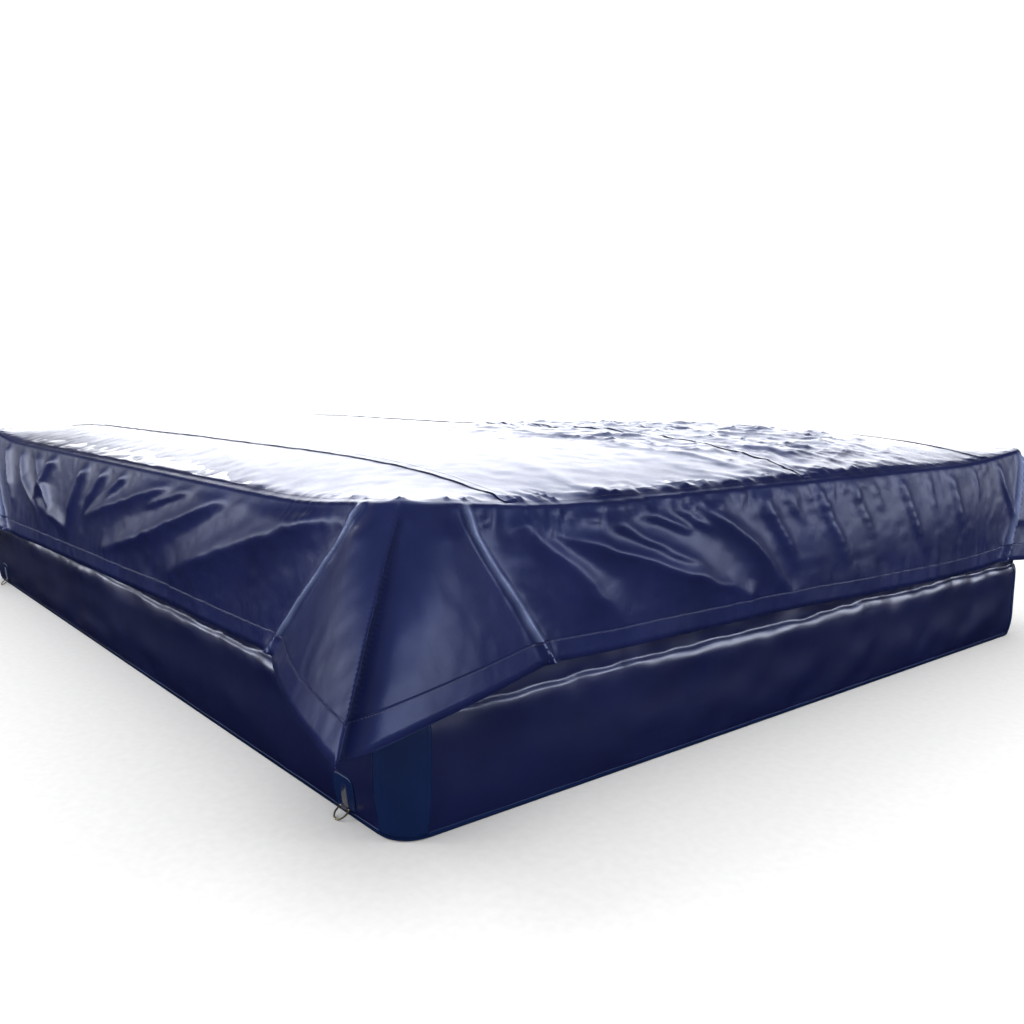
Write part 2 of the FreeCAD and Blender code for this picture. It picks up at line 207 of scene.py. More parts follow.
def new_material(name):
    material = bpy.data.materials.new(name)
    material.use_nodes = True
    tree = material.node_tree
    coords = add_node(tree, "ShaderNodeTexCoord", {}).outputs["Object"]
    return material, tree, tree.nodes["Principled BSDF"], coords


def grain(tree, scale, coords, **values):
    """Cloudy noise."""
    return add_node(tree, "ShaderNodeTexNoise", {"Vector": coords}, Scale=scale, **values).outputs["Fac"]


def cells(tree, scale, coords):
    """Small round cells, like the crossings of a weave."""
    node = add_node(tree, "ShaderNodeTexVoronoi", {"Vector": coords}, Scale=scale, Detail=2.0)
    return node.outputs["Distance"]


def ramp(tree, source, stops):
    """A colour that follows stops of (position, colour)."""
    node = add_node(tree, "ShaderNodeValToRGB", {"Fac": source})
    elements = node.color_ramp.elements
    for element, (position, colour) in zip(elements, (stops[0], stops[-1])):
        element.position = position
        element.color = (*colour, 1.0)
    for position, colour in stops[1:-1]:
        elements.new(position).color = (*colour, 1.0)
    return node.outputs["Color"]


def remap(tree, source, low, high, start=0.3, end=0.7):
    node = add_node(tree, "ShaderNodeMapRange", {"Value": source}, From_Min=start, From_Max=end,
                    To_Min=low, To_Max=high)
    return node.outputs["Result"]


def bump(tree, height, strength, distance, before=None):
    feeds = {"Height": height}
    if before is not None:
        feeds["Normal"] = before
    node = add_node(tree, "ShaderNodeBump", feeds, Strength=strength, Distance=distance)
    return node.outputs["Normal"]


def mix_colours(tree, first, second, **settings):
    """A colour mix node with its two colour sockets fed or set."""
    node = add_node(tree, "ShaderNodeMix", {6: first}, {"data_type": "RGBA", **settings})
    if isinstance(second, tuple):
        node.inputs[7].default_value = second
    else:
        tree.links.new(second, node.inputs[7])
    return node


def coated_fabric(name, dark, light, rough_low, rough_high, coat, crinkle, weave=0.25, specular=0.5,
                  coat_ior=1.4):
    """Coated polyester sheet: faint scrim weave, soft crinkles, cloudy scuffs in the gloss."""
    material, tree, shader, coords = new_material(name)
    cloudy = grain(tree, 2.3, coords, Detail=6.0, Roughness=0.6)
    scuffs = grain(tree, 9.0, coords, Detail=8.0, Roughness=0.7)
    scrim = bump(tree, cells(tree, 900.0, coords), weave, 0.0003) if weave > 0 else None
    creases = grain(tree, 14.0, coords, Detail=5.0 if weave > 0 else 1.0, Roughness=0.55)
    feeds = {"Base Color": ramp(tree, cloudy, [(0.3, dark), (0.72, light)]),
             "Roughness": remap(tree, scuffs, rough_low, rough_high),
             "Normal": bump(tree, creases, crinkle, 0.01, scrim)}
    wire(tree, shader, feeds, Specular_IOR_Level=specular, Specular_Tint=(0.50, 0.62, 1.0, 1.0),
         Coat_Weight=coat, Coat_Roughness=rough_low, Coat_IOR=coat_ior)
    return material


def woven_band(name, dark, light, scale):
    material, tree, shader, coords = new_material(name)
    weave = cells(tree, scale, coords)
    fuzz = grain(tree, scale * 1.7, coords, Detail=4.0)
    feeds = {"Base Color": ramp(tree, weave, [(0.0, light), (0.8, dark)]),
             "Roughness": remap(tree, fuzz, 0.6, 0.9),
             "Normal": bump(tree, weave, 0.8, 0.0008)}
    wire(tree, shader, feeds, Sheen_Weight=0.3)
    return material


def brushed_metal(name, dark, light, rough_low, rough_high):
    material, tree, shader, coords = new_material(name)
    stain = grain(tree, 60.0, coords, Detail=8.0, Roughness=0.7)
    scratches = grain(tree, 700.0, coords, Detail=3.0)
    feeds = {"Base Color": ramp(tree, stain, [(0.35, dark), (0.6, light)]),
             "Roughness": remap(tree, stain, rough_low, rough_high),
             "Normal": bump(tree, scratches, 0.25, 0.0003)}
    wire(tree, shader, feeds, Metallic=1.0)
    return material


def add_fold_wear_and_highlight(material, wear_highlight_colour):
    """Pales the coating along the hard folds, by the cloth's own per-point values: partly whitened crease
    wear, partly a painted highlight along the crease crests.
    """
    tree = material.node_tree
    colour = tree.nodes["Principled BSDF"].inputs["Base Color"]
    mix = mix_colours(tree, colour.links[0].from_socket, (*wear_highlight_colour, 1.0))
    wear_and_highlight = add_node(tree, "ShaderNodeAttribute", {}, {"attribute_name": "wear_and_highlight"})
    tree.links.new(wear_and_highlight.outputs["Fac"], mix.inputs["Factor"])
    tree.links.new(mix.outputs[2], colour)


COVER = coated_fabric("cover_fabric", (0.0055, 0.0085, 0.049), (0.0095, 0.0145, 0.076), 0.28, 0.36,
                      coat=0.16, crinkle=0.13, specular=0.62)
# The cover's crease crests get a paler colour: partly whitened crease wear, partly a painted highlight.
add_fold_wear_and_highlight(COVER, (0.20, 0.25, 0.44))
HEM = coated_fabric("hem_fabric", (0.0060, 0.0095, 0.053), (0.0105, 0.0160, 0.082), 0.28, 0.36,
                    coat=0.16, crinkle=0.20, specular=0.62)
BASE = coated_fabric("base_vinyl", (0.0012, 0.003, 0.038), (0.003, 0.006, 0.060), 0.28, 0.32,
                     coat=0.75, crinkle=0.10, weave=0.0, specular=1.0, coat_ior=1.9)
BAND = coated_fabric("corner_vinyl", (0.002, 0.008, 0.046), (0.004, 0.015, 0.070), 0.28, 0.32,
                     coat=0.5, crinkle=0.10, weave=0.0)
INNER = coated_fabric("inner_vinyl", (0.02, 0.025, 0.08), (0.03, 0.035, 0.11), 0.4, 0.6,
                      coat=0.0, crinkle=0.2)
ZIP_TEETH = coated_fabric("zip_moulding", (0.010, 0.010, 0.012), (0.03, 0.03, 0.035), 0.3, 0.5,
                          coat=0.0, crinkle=0.1)
WEBBING = woven_band("webbing_weave", (0.008, 0.009, 0.03), (0.03, 0.035, 0.09), 600.0)
GRIP = woven_band("grip_pile", (0.006, 0.006, 0.012), (0.03, 0.03, 0.045), 900.0)
THREAD = woven_band("thread", (0.03, 0.032, 0.09), (0.07, 0.075, 0.16), 1500.0)
STEEL = brushed_metal("ring_brass", (0.42, 0.34, 0.18), (0.75, 0.66, 0.42), 0.22, 0.45)
ZIP_METAL = brushed_metal("zip_nickel", (0.45, 0.45, 0.46), (0.75, 0.75, 0.76), 0.2, 0.4)


def paint(piece, material):
    piece.data.materials.clear()
    piece.data.materials.append(material)


def finish_piece(piece, material, body, replaces=()):
    paint(piece, material)
    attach(piece, body)
    if replaces:
        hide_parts(*replaces)


# ---- camera, floor and light ----

def add_object(name, data):
    piece = bpy.data.objects.new(name, data)
    bpy.context.scene.collection.objects.link(piece)
    return piece


def camera():
    data = bpy.data.cameras.new("camera")
    data.lens = 34.17
    data.sensor_width = 36.0
    piece = add_object("camera", data)
    piece.location = (4.7305, -3.4182, 1.3373)
    piece.rotation_mode = "QUATERNION"
    turn = Quaternion((0, 0, 1), math.radians(50.53))
    tilt = Quaternion((1, 0, 0), math.radians(90.0 - 7.61))
    roll = Quaternion((0, 0, 1), math.radians(0.39))
    piece.rotation_quaternion = turn @ tilt @ roll
    bpy.context.scene.camera = piece


def floor():
    size = 60.0
    piece = new_mesh("stage_floor", [(-size, -size, 0), (size, -size, 0), (size, size, 0), (-size, size, 0)],
                     [(0, 1, 2, 3)], False)
    material, tree, shader, coords = new_material("pale_floor")
    speckle = grain(tree, 30.0, coords, Detail=3.0)
    tint = ramp(tree, speckle, [(0.3, (0.86, 0.86, 0.86)), (0.7, (0.9, 0.9, 0.9))])
    wire(tree, shader, {"Base Color": tint}, Roughness=0.9, Specular_IOR_Level=0.0)
    piece.data.materials.append(material)
    piece.visible_glossy = False


SKY_STRENGTH = 4.6
ROOM_STRENGTH = 1.25
# Brightness of the sky by the height of the direction, from straight down to straight up.
SKY_STOPS = [(-1.0, 0.006), (-0.02, 0.008), (0.03, 0.95), (0.16, 1.0), (0.27, 0.55), (0.42, 0.17),
             (0.65, 0.07), (1.0, 0.05)]
# Brightness of the sky by heading, in degrees to the right of the camera's own heading.
HEADING_STOPS = [(-180, 0.02), (-140, 0.04), (-115, 0.18), (-98, 0.85), (-80, 1.0), (-70, 0.70),
                 (-58, 0.05), (-32, 0.05), (-27, 1.0), (28, 1.0), (32, 0.05), (76, 0.05), (84, 0.95),
                 (101, 0.85), (118, 0.15), (140, 0.04), (180, 0.02)]
CAMERA_AHEAD = (-0.77, 0.63, 0.0)
CAMERA_RIGHT = (0.63, 0.77, 0.0)


def sky_colour(v):
    """The sky's colour at a brightness v: the dimmer, the bluer."""
    return (v * (0.55 + 0.42 * v), v * (0.66 + 0.32 * v), v)


def world():
    """A bright overcast sky over dark ground; a white room where the camera looks at it directly."""
    scene_world = bpy.data.worlds.new("studio")
    bpy.context.scene.world = scene_world
    scene_world.use_nodes = True
    tree = scene_world.node_tree
    tree.nodes.clear()
    coords = add_node(tree, "ShaderNodeTexCoord", {})
    split = add_node(tree, "ShaderNodeSeparateXYZ", {"Vector": coords.outputs["Generated"]})
    level = add_node(tree, "ShaderNodeCombineXYZ", {"X": split.outputs["X"], "Y": split.outputs["Y"]})
    heading = add_node(tree, "ShaderNodeVectorMath", {0: level.outputs["Vector"]}, {"operation": "NORMALIZE"})
    parts = []
    for axis in (CAMERA_AHEAD, CAMERA_RIGHT):
        part = add_node(tree, "ShaderNodeVectorMath", {0: heading.outputs["Vector"]},
                        {"operation": "DOT_PRODUCT"})
        part.inputs[1].default_value = axis
        parts.append(part.outputs["Value"])
    ahead, right = parts
    turn = add_node(tree, "ShaderNodeMath", {0: right, 1: ahead}, {"operation": "ARCTAN2"})
    facing = remap(tree, turn.outputs["Value"], 0.0, 1.0, -math.pi, math.pi)
    fade = ramp(tree, facing, [((degrees + 180) / 360, (v, v, v)) for degrees, v in HEADING_STOPS])
    squash = remap(tree, ahead, 1.3, 0.50, 0.82, 0.90)
    lowered = add_node(tree, "ShaderNodeMath", {0: split.outputs["Z"], 1: squash}, {"operation": "MULTIPLY"})
    height = remap(tree, lowered.outputs["Value"], 0.0, 1.0, -1.0, 1.0)
    glow = ramp(tree, height, [((z + 1) / 2, sky_colour(v)) for z, v in SKY_STOPS])
    both = mix_colours(tree, glow, fade, blend_type="MULTIPLY")
    both.inputs["Factor"].default_value = 1.0
    sky = add_node(tree, "ShaderNodeBackground", {"Color": both.outputs[2]}, Strength=SKY_STRENGTH)
    white = add_node(tree, "ShaderNodeBackground", {}, Color=(1.0, 1.0, 1.0, 1.0), Strength=ROOM_STRENGTH)
    glossy = add_node(tree, "ShaderNodeLightPath", {}).outputs["Is Glossy Ray"]
    mix = add_node(tree, "ShaderNodeMixShader", {"Fac": glossy, 1: white.outputs["Background"],
                                                 2: sky.outputs["Background"]})
    add_node(tree, "ShaderNodeOutputWorld", {"Surface": mix.outputs["Shader"]})
    bpy.context.scene.view_settings.view_transform = "Standard"


def area_light(name, place, aim, size, power):
    data = bpy.data.lights.new(name, "AREA")
    data.shape = "DISK"
    data.size = size
    data.energy = power
    piece = add_object(name, data)
    piece.location = place
    direction = np.array(aim, float) - np.array(place, float)
    piece.rotation_euler = Vector(direction).to_track_quat("-Z", "Y").to_euler()
    piece.visible_glossy = False


camera()
floor()
world()
area_light("key", (-1.5, -7.5, 6.0), (0.5, -2.0, 0.7), 2.5, 120.0)
area_light("side", (9.0, 4.5, 6.0), (2.5, 0.5, 0.7), 2.5, 100.0)


# ---- the air chamber ----

def rounded_plan(x, y, half_x, half_y, radius):
    """Moves points of a rectangle so that its corners become round."""
    cx = np.abs(x) - (half_x - radius)
    cy = np.abs(y) - (half_y - radius)
    inside = (cx > 0) & (cy > 0)
    longest = np.maximum(cx, cy)
    distance = np.hypot(cx, cy) + 1e-12
    factor = np.where(inside, longest / distance, 1.0)
    new_x = np.where(inside, np.sign(x) * (half_x - radius + cx * factor), x)
    new_y = np.where(inside, np.sign(y) * (half_y - radius + cy * factor), y)
    return new_x, new_y


def plan_and_centre(x, y):
    """Points of the chamber's rounded plan, and the centre that each is rounded about."""
    rx, ry = rounded_plan(x, y, HALF_X, HALF_Y, CORNER_R)
    cx = np.clip(rx, -(HALF_X - CORNER_R), HALF_X - CORNER_R)
    cy = np.clip(ry, -(HALF_Y - CORNER_R), HALF_Y - CORNER_R)
    return rx, ry, cx, cy


def crown(x, y):
    across = 1.0 - np.minimum(np.abs(x / HALF_X), 1.0) ** 6
    along = 1.0 - np.minimum(np.abs(y / HALF_Y), 1.0) ** 6
    return EDGE_Z + (CROWN_TOP - EDGE_Z) * across * along


def boundary_loop(xs, ys):
    """Rectangle boundary points in order, anticlockwise from the front left corner."""
    front = [(x, ys[0]) for x in xs[:-1]]
    right = [(xs[-1], y) for y in ys[:-1]]
    back = [(x, ys[-1]) for x in xs[:0:-1]]
    left = [(xs[0], y) for y in ys[:0:-1]]
    return np.array(front + right + back + left)


def boundary_index(rows, columns):
    """Indices of those points in a grid stored as x rows of y columns."""
    front = [i * columns for i in range(rows - 1)]
    right = [(rows - 1) * columns + j for j in range(columns - 1)]
    back = [i * columns + columns - 1 for i in range(rows - 1, 0, -1)]
    left = [j for j in range(columns - 1, 0, -1)]
    return front + right + back + left


# How far the wall lies inside the nominal rectangle, at its foot, its bulge and its top edge.
FOOT_IN = 0.020
BULGE_IN = 0.006
TOP_IN = 0.045
# The foot curves in below FOOT_Z, and the lower band rolls in to the waist above ROLL_IN_Z.
FOOT_Z = 0.25
ROLL_IN_Z = 0.47
BULGE_Z = 0.73
TOP_Z = 0.98
# Thickness of the frame's sheets, and how much less deep the lower band is at the waist.
SHEET = 0.004
SHELF = 0.016
# The fold under the hem: radius of its roll, and how far up the roll goes.
ROLL = 0.080
ROLL_END = 0.034


def arc_reach(z, low, middle, high):
    """Reach of a circular bulge through three (reach, height) points."""
    (r0, z0), (r1, z1), (r2, z2) = low, middle, high
    a = np.array([[2 * (r1 - r0), 2 * (z1 - z0)], [2 * (r2 - r1), 2 * (z2 - z1)]])
    b = np.array([r1 * r1 - r0 * r0 + z1 * z1 - z0 * z0, r2 * r2 - r1 * r1 + z2 * z2 - z1 * z1])
    centre = np.linalg.solve(a, b)
    radius = math.hypot(r1 - centre[0], z1 - centre[1])
    return centre[0] + np.sqrt(np.maximum(radius ** 2 - (z - centre[1]) ** 2, 0.0))


def wall_reach(z):
    """Reach of the side wall: nearly upright at the foot, then rolling in to the waist."""
    rise = np.maximum(z - ROLL_IN_Z, 0.0) / (WAIST_Z - ROLL_IN_Z)
    drop = np.maximum(FOOT_Z - z, 0.0) / FOOT_Z
    lower = -(WAIST_IN - SHEET - SHELF) * rise ** 2.0 - FOOT_IN * drop ** 3.0
    upper = arc_reach(z, (-WAIST_IN + SHEET, WAIST_Z + SHEET), (-BULGE_IN, BULGE_Z), (-TOP_IN, TOP_Z))
    return np.where(z <= WAIST_Z + 0.002, lower, upper)


def wall_ripple(s, z):
    """Unevenness of the taut vinyl: wavy shoulders, and puckers next to the welded seams."""
    near_waist = bell((z - WAIST_Z) / 0.12)
    shoulder = bell((z - 0.385) / 0.07)
    low_shoulder = bell((z - 0.12) / 0.08)
    foot = bell(z / 0.06)
    wave = 0.005 * noise(s, z * 0.4, 0.33, 11) + 0.0025 * noise(s, z, 0.11, 12)
    pucker = 0.006 * noise(s, z * 0.25, 0.045, 13) * near_waist
    creases = 0.004 * ridges(s + 0.6 * z, z * 0.5, 0.09, 14) * near_waist
    low = 0.007 * noise(s * 0.6, z, 0.14, 15) * low_shoulder + 0.004 * noise(s, z, 0.12, 16) * foot
    wave = wave + 0.0035 * noise(s * 0.5, z, 0.08, 17) * shoulder
    return wave * (0.35 + shoulder) + pucker - creases + low


# Where the fold under the hem stands out most: side, and from where to where along X or Y.
STRONG_RUNS = [("right", -1.05, 1.75), ("front", -1.75, -0.05), ("front", 1.45, 1.95),
               ("back", -1.2, 1.4), ("left", -1.3, 0.6)]


def hem_crease(s_x, s_y, z):
    """The wavy fold that stands out of the taut vinyl just under the cover's hem."""
    run = s_x + 1.7 * s_y
    level = 0.345 + 0.010 * noise(run, 0 * run, 0.7, 18) + 0.007 * noise(run, 0 * run, 0.13, 19)
    strength = 0.25 + 0 * run
    for side, first, last in STRONG_RUNS:
        along, across = (s_x, s_y) if is_long(side) else (s_y, s_x)
        edge = side_halves(side)[1] * side_sign(side)
        on_side = np.abs(across - edge) < 0.001
        inside = smooth((along - first) / 0.25) * smooth((last - along) / 0.25)
        strength = np.maximum(strength, on_side * inside * (0.75 + 0.35 * noise(run, 0 * run, 0.23, 20)))
    up = z - level
    rolled = ROLL - np.sqrt(ROLL ** 2 - np.clip(up, 0.0, ROLL_END) ** 2)
    step = smooth((up - ROLL_END) / 0.012)
    below = bell(np.minimum(up, 0.0) / 0.06)
    out = 0.008 * (0.3 + 0.7 * strength) * below - rolled * (0.35 + 0.65 * strength) - 0.009 * step
    return out * (z < WAIST_Z)


def zip_calm(s_x, s_y, z):
    """1 where the zip's stiff tapes hold the back wall flat, down to 0 well away from them."""
    middle, half = (ZIP_LOW + ZIP_HIGH) / 2, (ZIP_HIGH - ZIP_LOW) / 2
    along = smooth((half.x + 0.15 - np.abs(s_x - middle.x)) / 0.12)
    up = smooth((half.z + 0.045 - np.abs(z - middle.z)) / 0.04)
    return along * up * (s_y > HALF_Y - 0.001)


def wall_point(s_x, s_y, z, lift=0.0):
    """A point of the chamber's side wall under the boundary point (s_x, s_y) of the nominal rectangle."""
    ripple = wall_ripple(s_x + 1.7 * s_y, z) * smooth(z / 0.03) + hem_crease(s_x, s_y, z)
    reach = wall_reach(z) + ripple * (1 - zip_calm(s_x, s_y, z)) + lift
    x, y, cx, cy = plan_and_centre(s_x, s_y)
    out_x, out_y = x - cx, y - cy
    size = np.hypot(out_x, out_y) + 1e-12
    return np.stack([x + out_x / size * reach, y + out_y / size * reach, z + 0.0 * x], -1)


def side_wall(side, c, z, lift=0.0):
    """Points of the chamber's wall on a named side, at places c along it."""
    edge = side_halves(side)[1] * side_sign(side)
    return wall_point(c, 0 * c + edge, z, lift) if is_long(side) else wall_point(0 * c + edge, c, z, lift)


def spaced(limit, fine, coarse, margin):
    """Coordinates from -limit to limit, fine near both ends and coarse between."""
    inner = limit - margin
    middle = np.linspace(-inner, inner, int(2 * inner / coarse) + 1)
    end = np.linspace(inner, limit, int(margin / fine) + 1)[1:]
    return np.concatenate([-end[::-1], middle, end])


def base_bag():
    """The closed chamber: crowned deck, two bulging wall bands and the floor, as one skin."""
    xs = spaced(HALF_X, 0.014, 0.03, 0.2)
    ys = spaced(HALF_Y, 0.014, 0.03, 0.2)
    gx, gy = np.meshgrid(xs, ys, indexing="ij")
    rx, ry, cx, cy = plan_and_centre(gx, gy)
    top_scale = (CORNER_R - TOP_IN) / CORNER_R
    deck_x = np.where(np.abs(rx) > HALF_X - CORNER_R, cx + (rx - cx) * top_scale, rx)
    deck_y = np.where(np.abs(ry) > HALF_Y - CORNER_R, cy + (ry - cy) * top_scale, ry)
    edge = np.minimum(HALF_X - np.abs(gx), HALF_Y - np.abs(gy))
    pucker = 0.004 * noise(gx, gy, 0.07, 21) * bell(edge / 0.10)
    deck_z = crown(deck_x, deck_y) + pucker * smooth(edge / 0.02) - 0.002
    deck = np.stack([deck_x, deck_y, deck_z], -1)
    foot_scale_x = (HALF_X - FOOT_IN) / HALF_X
    foot_scale_y = (HALF_Y - FOOT_IN) / HALF_Y
    under = np.stack([rx * foot_scale_x, ry * foot_scale_y, 0.0015 + 0.0 * rx], -1)

    loop = boundary_loop(xs, ys)
    heights = np.concatenate([
        np.array([0.945, 0.935, 0.92]), np.linspace(0.90, WAIST_Z + 0.012, 26), [WAIST_Z + 0.001],
        np.linspace(WAIST_Z - 0.010, 0.29, 36), np.linspace(0.28, 0.03, 18), [0.018, 0.010, 0.005]])
    rings = np.array([wall_point(*loop.T, z + 0.0 * loop[:, 0]) for z in heights])

    rows, columns = gx.shape
    ring_size = len(loop)
    first = rows * columns
    last = first + (len(heights) - 1) * ring_size
    under_start = last + ring_size
    points = np.concatenate([deck.reshape(-1, 3), rings.reshape(-1, 3), under.reshape(-1, 3)])
    faces = [grid_faces(rows, columns), grid_faces(len(heights), ring_size, first, wrap=True),
             grid_faces(rows, columns, under_start, flip=True)]
    edge_index = boundary_index(rows, columns)
    rim = []
    for j in range(ring_size):
        k = (j + 1) % ring_size
        rim.append((edge_index[j], first + j, first + k, edge_index[k]))
        rim.append((last + j, under_start + edge_index[j], under_start + edge_index[k], last + k))
    faces.append(np.array(rim))
    return new_mesh("base_bag", points, np.concatenate(faces))


def make_base():
    bag = base_bag()
    walls = ["%s_wall_%s" % (level, side) for level in ("lower", "upper") for side in SIDE_OUT]
    finish_piece(bag, BASE, "chamber", ["floor_sheet", "top_sheet"] + walls)


# ---- the cover ----

# The cover's gap to the wall and above the crown, and the width of its rounded top edge.
WALL_OUT = 0.007
CLOTH_LIFT = 0.007
EDGE_ROUND = 0.034
# Length of cloth down the skirt, and the part of it that is the hem.
SKIRT = 0.565
HEM_WIDTH = 0.085
# Half the deck's size between the rounded edges.
TOP_X = HALF_X + WALL_OUT - EDGE_ROUND
TOP_Y = HALF_Y + WALL_OUT - EDGE_ROUND

# How each corner's loose fold lies: where its two side creases start at the top edge and end at
# the hem, measured from the corner along the long and the short side, and where its tip hangs.
CORNER_FOLDS = {
    (1, -1): dict(long=(0.15, 0.72), short=(0.22, 0.56), tip=(0.29, 0.35, 0.435), bow=(0.045, 0.040),
                  swell=0.05),
    (-1, -1): dict(long=(0.19, 0.62), short=(0.17, 0.66), tip=(0.27, 0.24, 0.40), bow=(0.02, 0.03),
                   swell=0.03),
    (1, 1): dict(long=(0.18, 0.66), short=(0.10, 0.34), tip=(0.10, 0.28, 0.40), bow=(0.02, 0.01),
                 swell=0.02),
    (-1, 1): dict(long=(0.20, 0.70), short=(0.16, 0.58), tip=(0.22, 0.27, 0.39), bow=(0.03, 0.02),
                  swell=0.03),
}

# Folds in the skirts, as (points, width, height). A point is the distance from the corner at the
# right or front end of the side, and the height above the floor.
FRONT_FOLDS = [
    ([(1.02, 0.95), (1.81, 0.71), (2.47, 0.55)], 0.060, 0.030),
    ([(1.53, 0.95), (2.48, 0.74), (2.75, 0.68)], 0.050, 0.024),
    ([(0.20, 1.00), (0.64, 0.86), (1.63, 0.57)], 0.100, 0.040),
    ([(0.57, 0.96), (1.42, 0.64)], 0.050, 0.018),
    ([(1.34, 0.94), (1.95, 0.80)], 0.035, 0.016),
    ([(0.85, 0.96), (1.12, 0.84)], 0.030, 0.012),
    ([(2.46, 0.94), (2.80, 0.70)], 0.045, 0.024),
    ([(2.19, 0.94), (2.48, 0.78)], 0.035, 0.020),
    ([(2.76, 0.95), (3.07, 0.59)], 0.060, 0.036),
    ([(3.33, 0.96), (3.73, 0.66)], 0.060, 0.034),
    ([(3.73, 0.66), (3.07, 0.57)], 0.070, 0.024),
    ([(3.78, 0.95), (3.34, 0.59)], 0.060, 0.030),
    ([(4.11, 0.96), (3.97, 0.76), (3.64, 0.59)], 0.060, 0.030),
    ([(4.45, 0.97), (4.25, 0.62)], 0.055, 0.026),
]
RIGHT_FOLDS = [
    ([(0.55, 0.88), (1.09, 0.71), (1.56, 0.55)], 0.060, 0.034),
    ([(1.25, 0.94), (1.57, 0.75), (1.84, 0.50)], 0.045, 0.030),
    ([(0.63, 0.95), (0.80, 0.88)], 0.026, 0.014),
    ([(0.38, 0.97), (0.62, 0.78), (0.90, 0.54)], 0.060, 0.022),
    ([(0.80, 0.91), (1.31, 0.67)], 0.040, 0.024),
    ([(0.95, 0.94), (1.22, 0.82)], 0.026, 0.018),
    ([(1.12, 0.93), (1.38, 0.80)], 0.024, 0.014),
    ([(1.63, 0.95), (1.86, 0.64)], 0.034, 0.022),
    ([(1.78, 0.93), (1.92, 0.80)], 0.022, 0.010),
    ([(2.01, 0.94), (2.21, 0.62)], 0.028, 0.018),
    ([(2.27, 0.93), (2.40, 0.70)], 0.024, 0.012),
    ([(2.44, 0.94), (2.50, 0.80)], 0.018, 0.008),
    ([(2.66, 0.94), (2.84, 0.60)], 0.030, 0.018),
    ([(2.92, 0.93), (2.97, 0.74)], 0.020, 0.009),
    ([(3.11, 0.94), (3.26, 0.62)], 0.028, 0.016),
    ([(3.36, 0.95), (3.40, 0.78)], 0.020, 0.008),
    ([(3.61, 0.95), (3.77, 0.62)], 0.030, 0.016),
]


def fold_shift(s, z, folds, seed):
    """How far the folds of a list push the skirt outwards at (s, z)."""
    total = np.zeros_like(s)
    wobble_s = s + 0.012 * noise(s, z, 0.10, seed)
    wobble_z = z + 0.008 * noise(s, z, 0.08, seed + 1)
    for index, (points, width, height) in enumerate(folds):
        best = np.full_like(s, 1e9)
        side = np.zeros_like(s)
        place = np.zeros_like(s)
        lengths = [math.dist(p, q) for p, q in zip(points, points[1:])]
        whole = sum(lengths)
        start = 0.0
        for (s0, z0), (s1, z1), length in zip(points, points[1:], lengths):
            ds, dz = (s1 - s0) / length, (z1 - z0) / length
            t = np.clip((wobble_s - s0) * ds + (wobble_z - z0) * dz, 0.0, length)
            ox, oz = wobble_s - (s0 + ds * t), wobble_z - (z0 + dz * t)
            distance = np.hypot(ox, oz)
            nearer = distance < best
            best = np.where(nearer, distance, best)
            side = np.where(nearer, np.sign(ox * dz - oz * ds), side)
            place = np.where(nearer, (start + t) / whole, place)
            start += length
        # One flank of a fold is steeper than the other, in turn.
        lean = 0.55 if index % 2 else 0.45
        across = best / (width * np.where(side > 0, lean * 2, (1 - lean) * 2))
        crest = np.exp(-1.5 * (np.sqrt(across ** 2 + 0.02) - math.sqrt(0.02)))
        fade = 0.35 + 0.65 * smooth(place / 0.25)
        fade = fade * (1.0 - 0.55 * smooth((place - 0.7) / 0.3))
        total = np.maximum(total, height * crest * fade) + 0.25 * np.minimum(total, height * crest * fade)
    return total


def varied(folds, seed, length):
    """Another side's folds: the same list read from its other end, each moved a little."""
    random = np.random.RandomState(seed)
    moved = []
    for points, width, height in folds:
        shift = random.uniform(-0.12, 0.12)
        drop = random.uniform(-0.03, 0.03)
        points = [(length - s + shift, z + drop * (z < 0.9)) for s, z in points]
        moved.append((points, width * random.uniform(0.8, 1.3), height * random.uniform(0.7, 1.2)))
    return moved


SIDES = {
    "front": dict(half=HALF_X, wall=HALF_Y, start=1, folds=FRONT_FOLDS, seed=31),
    "right": dict(half=HALF_Y, wall=HALF_X, start=-1, folds=RIGHT_FOLDS, seed=41),
    "back": dict(half=HALF_X, wall=HALF_Y, start=1, folds=varied(FRONT_FOLDS, 5, 2 * HALF_X), seed=51),
    "left": dict(half=HALF_Y, wall=HALF_X, start=-1, folds=varied(RIGHT_FOLDS, 6, 2 * HALF_Y), seed=61),
}


def edge_height(from_end_a, from_end_b):
    """Height of the cover's top edge: it stands up a little at the corners."""
    return EDGE_Z - 0.004 + 0.052 * (bell(from_end_a / 0.42) + bell(from_end_b / 0.42))


# Length of cloth over which the top edge turns down.
ROUND_ARC = 0.024


def edge_profile(q):
    """Outward and downward travel of the skirt, q along the cloth from the rounded top edge."""
    steps = np.linspace(0.0, SKIRT, 400)
    angle = math.radians(12.0) + math.radians(69.0) * smooth(steps / ROUND_ARC)
    angle = angle + math.radians(8.0) * smooth((steps - 0.06) / 0.36)
    travel = [np.concatenate([[0.0], np.cumsum(part)[:-1]]) * (steps[1] - steps[0])
              for part in (np.cos(angle), np.sin(angle))]
    return [np.interp(q, steps, part) for part in travel]


def hem_creases(s, z, seed):
    """Small upright creases that the stitched hem draws into the cloth above it."""
    fade = bell((z - (HEM_Z + HEM_WIDTH)) / 0.08)
    return (0.0035 * noise(s, z * 0.2, 0.022, seed) + 0.003 * noise(s, z * 0.3, 0.05, seed + 1)) * fade


def edge_puckers(s, depth, strength, seed):
    """Short gathers across the top edge."""
    fade = bell((depth - 0.01) / (0.05 + 1.3 * strength))
    return strength * (0.6 * ridges(s + 0.35 * depth, depth * 0.5, 0.035, seed)
                       + 0.7 * np.maximum(noise(s - 0.3 * depth, depth * 0.6, 0.06, seed + 1), 0.0)) * fade


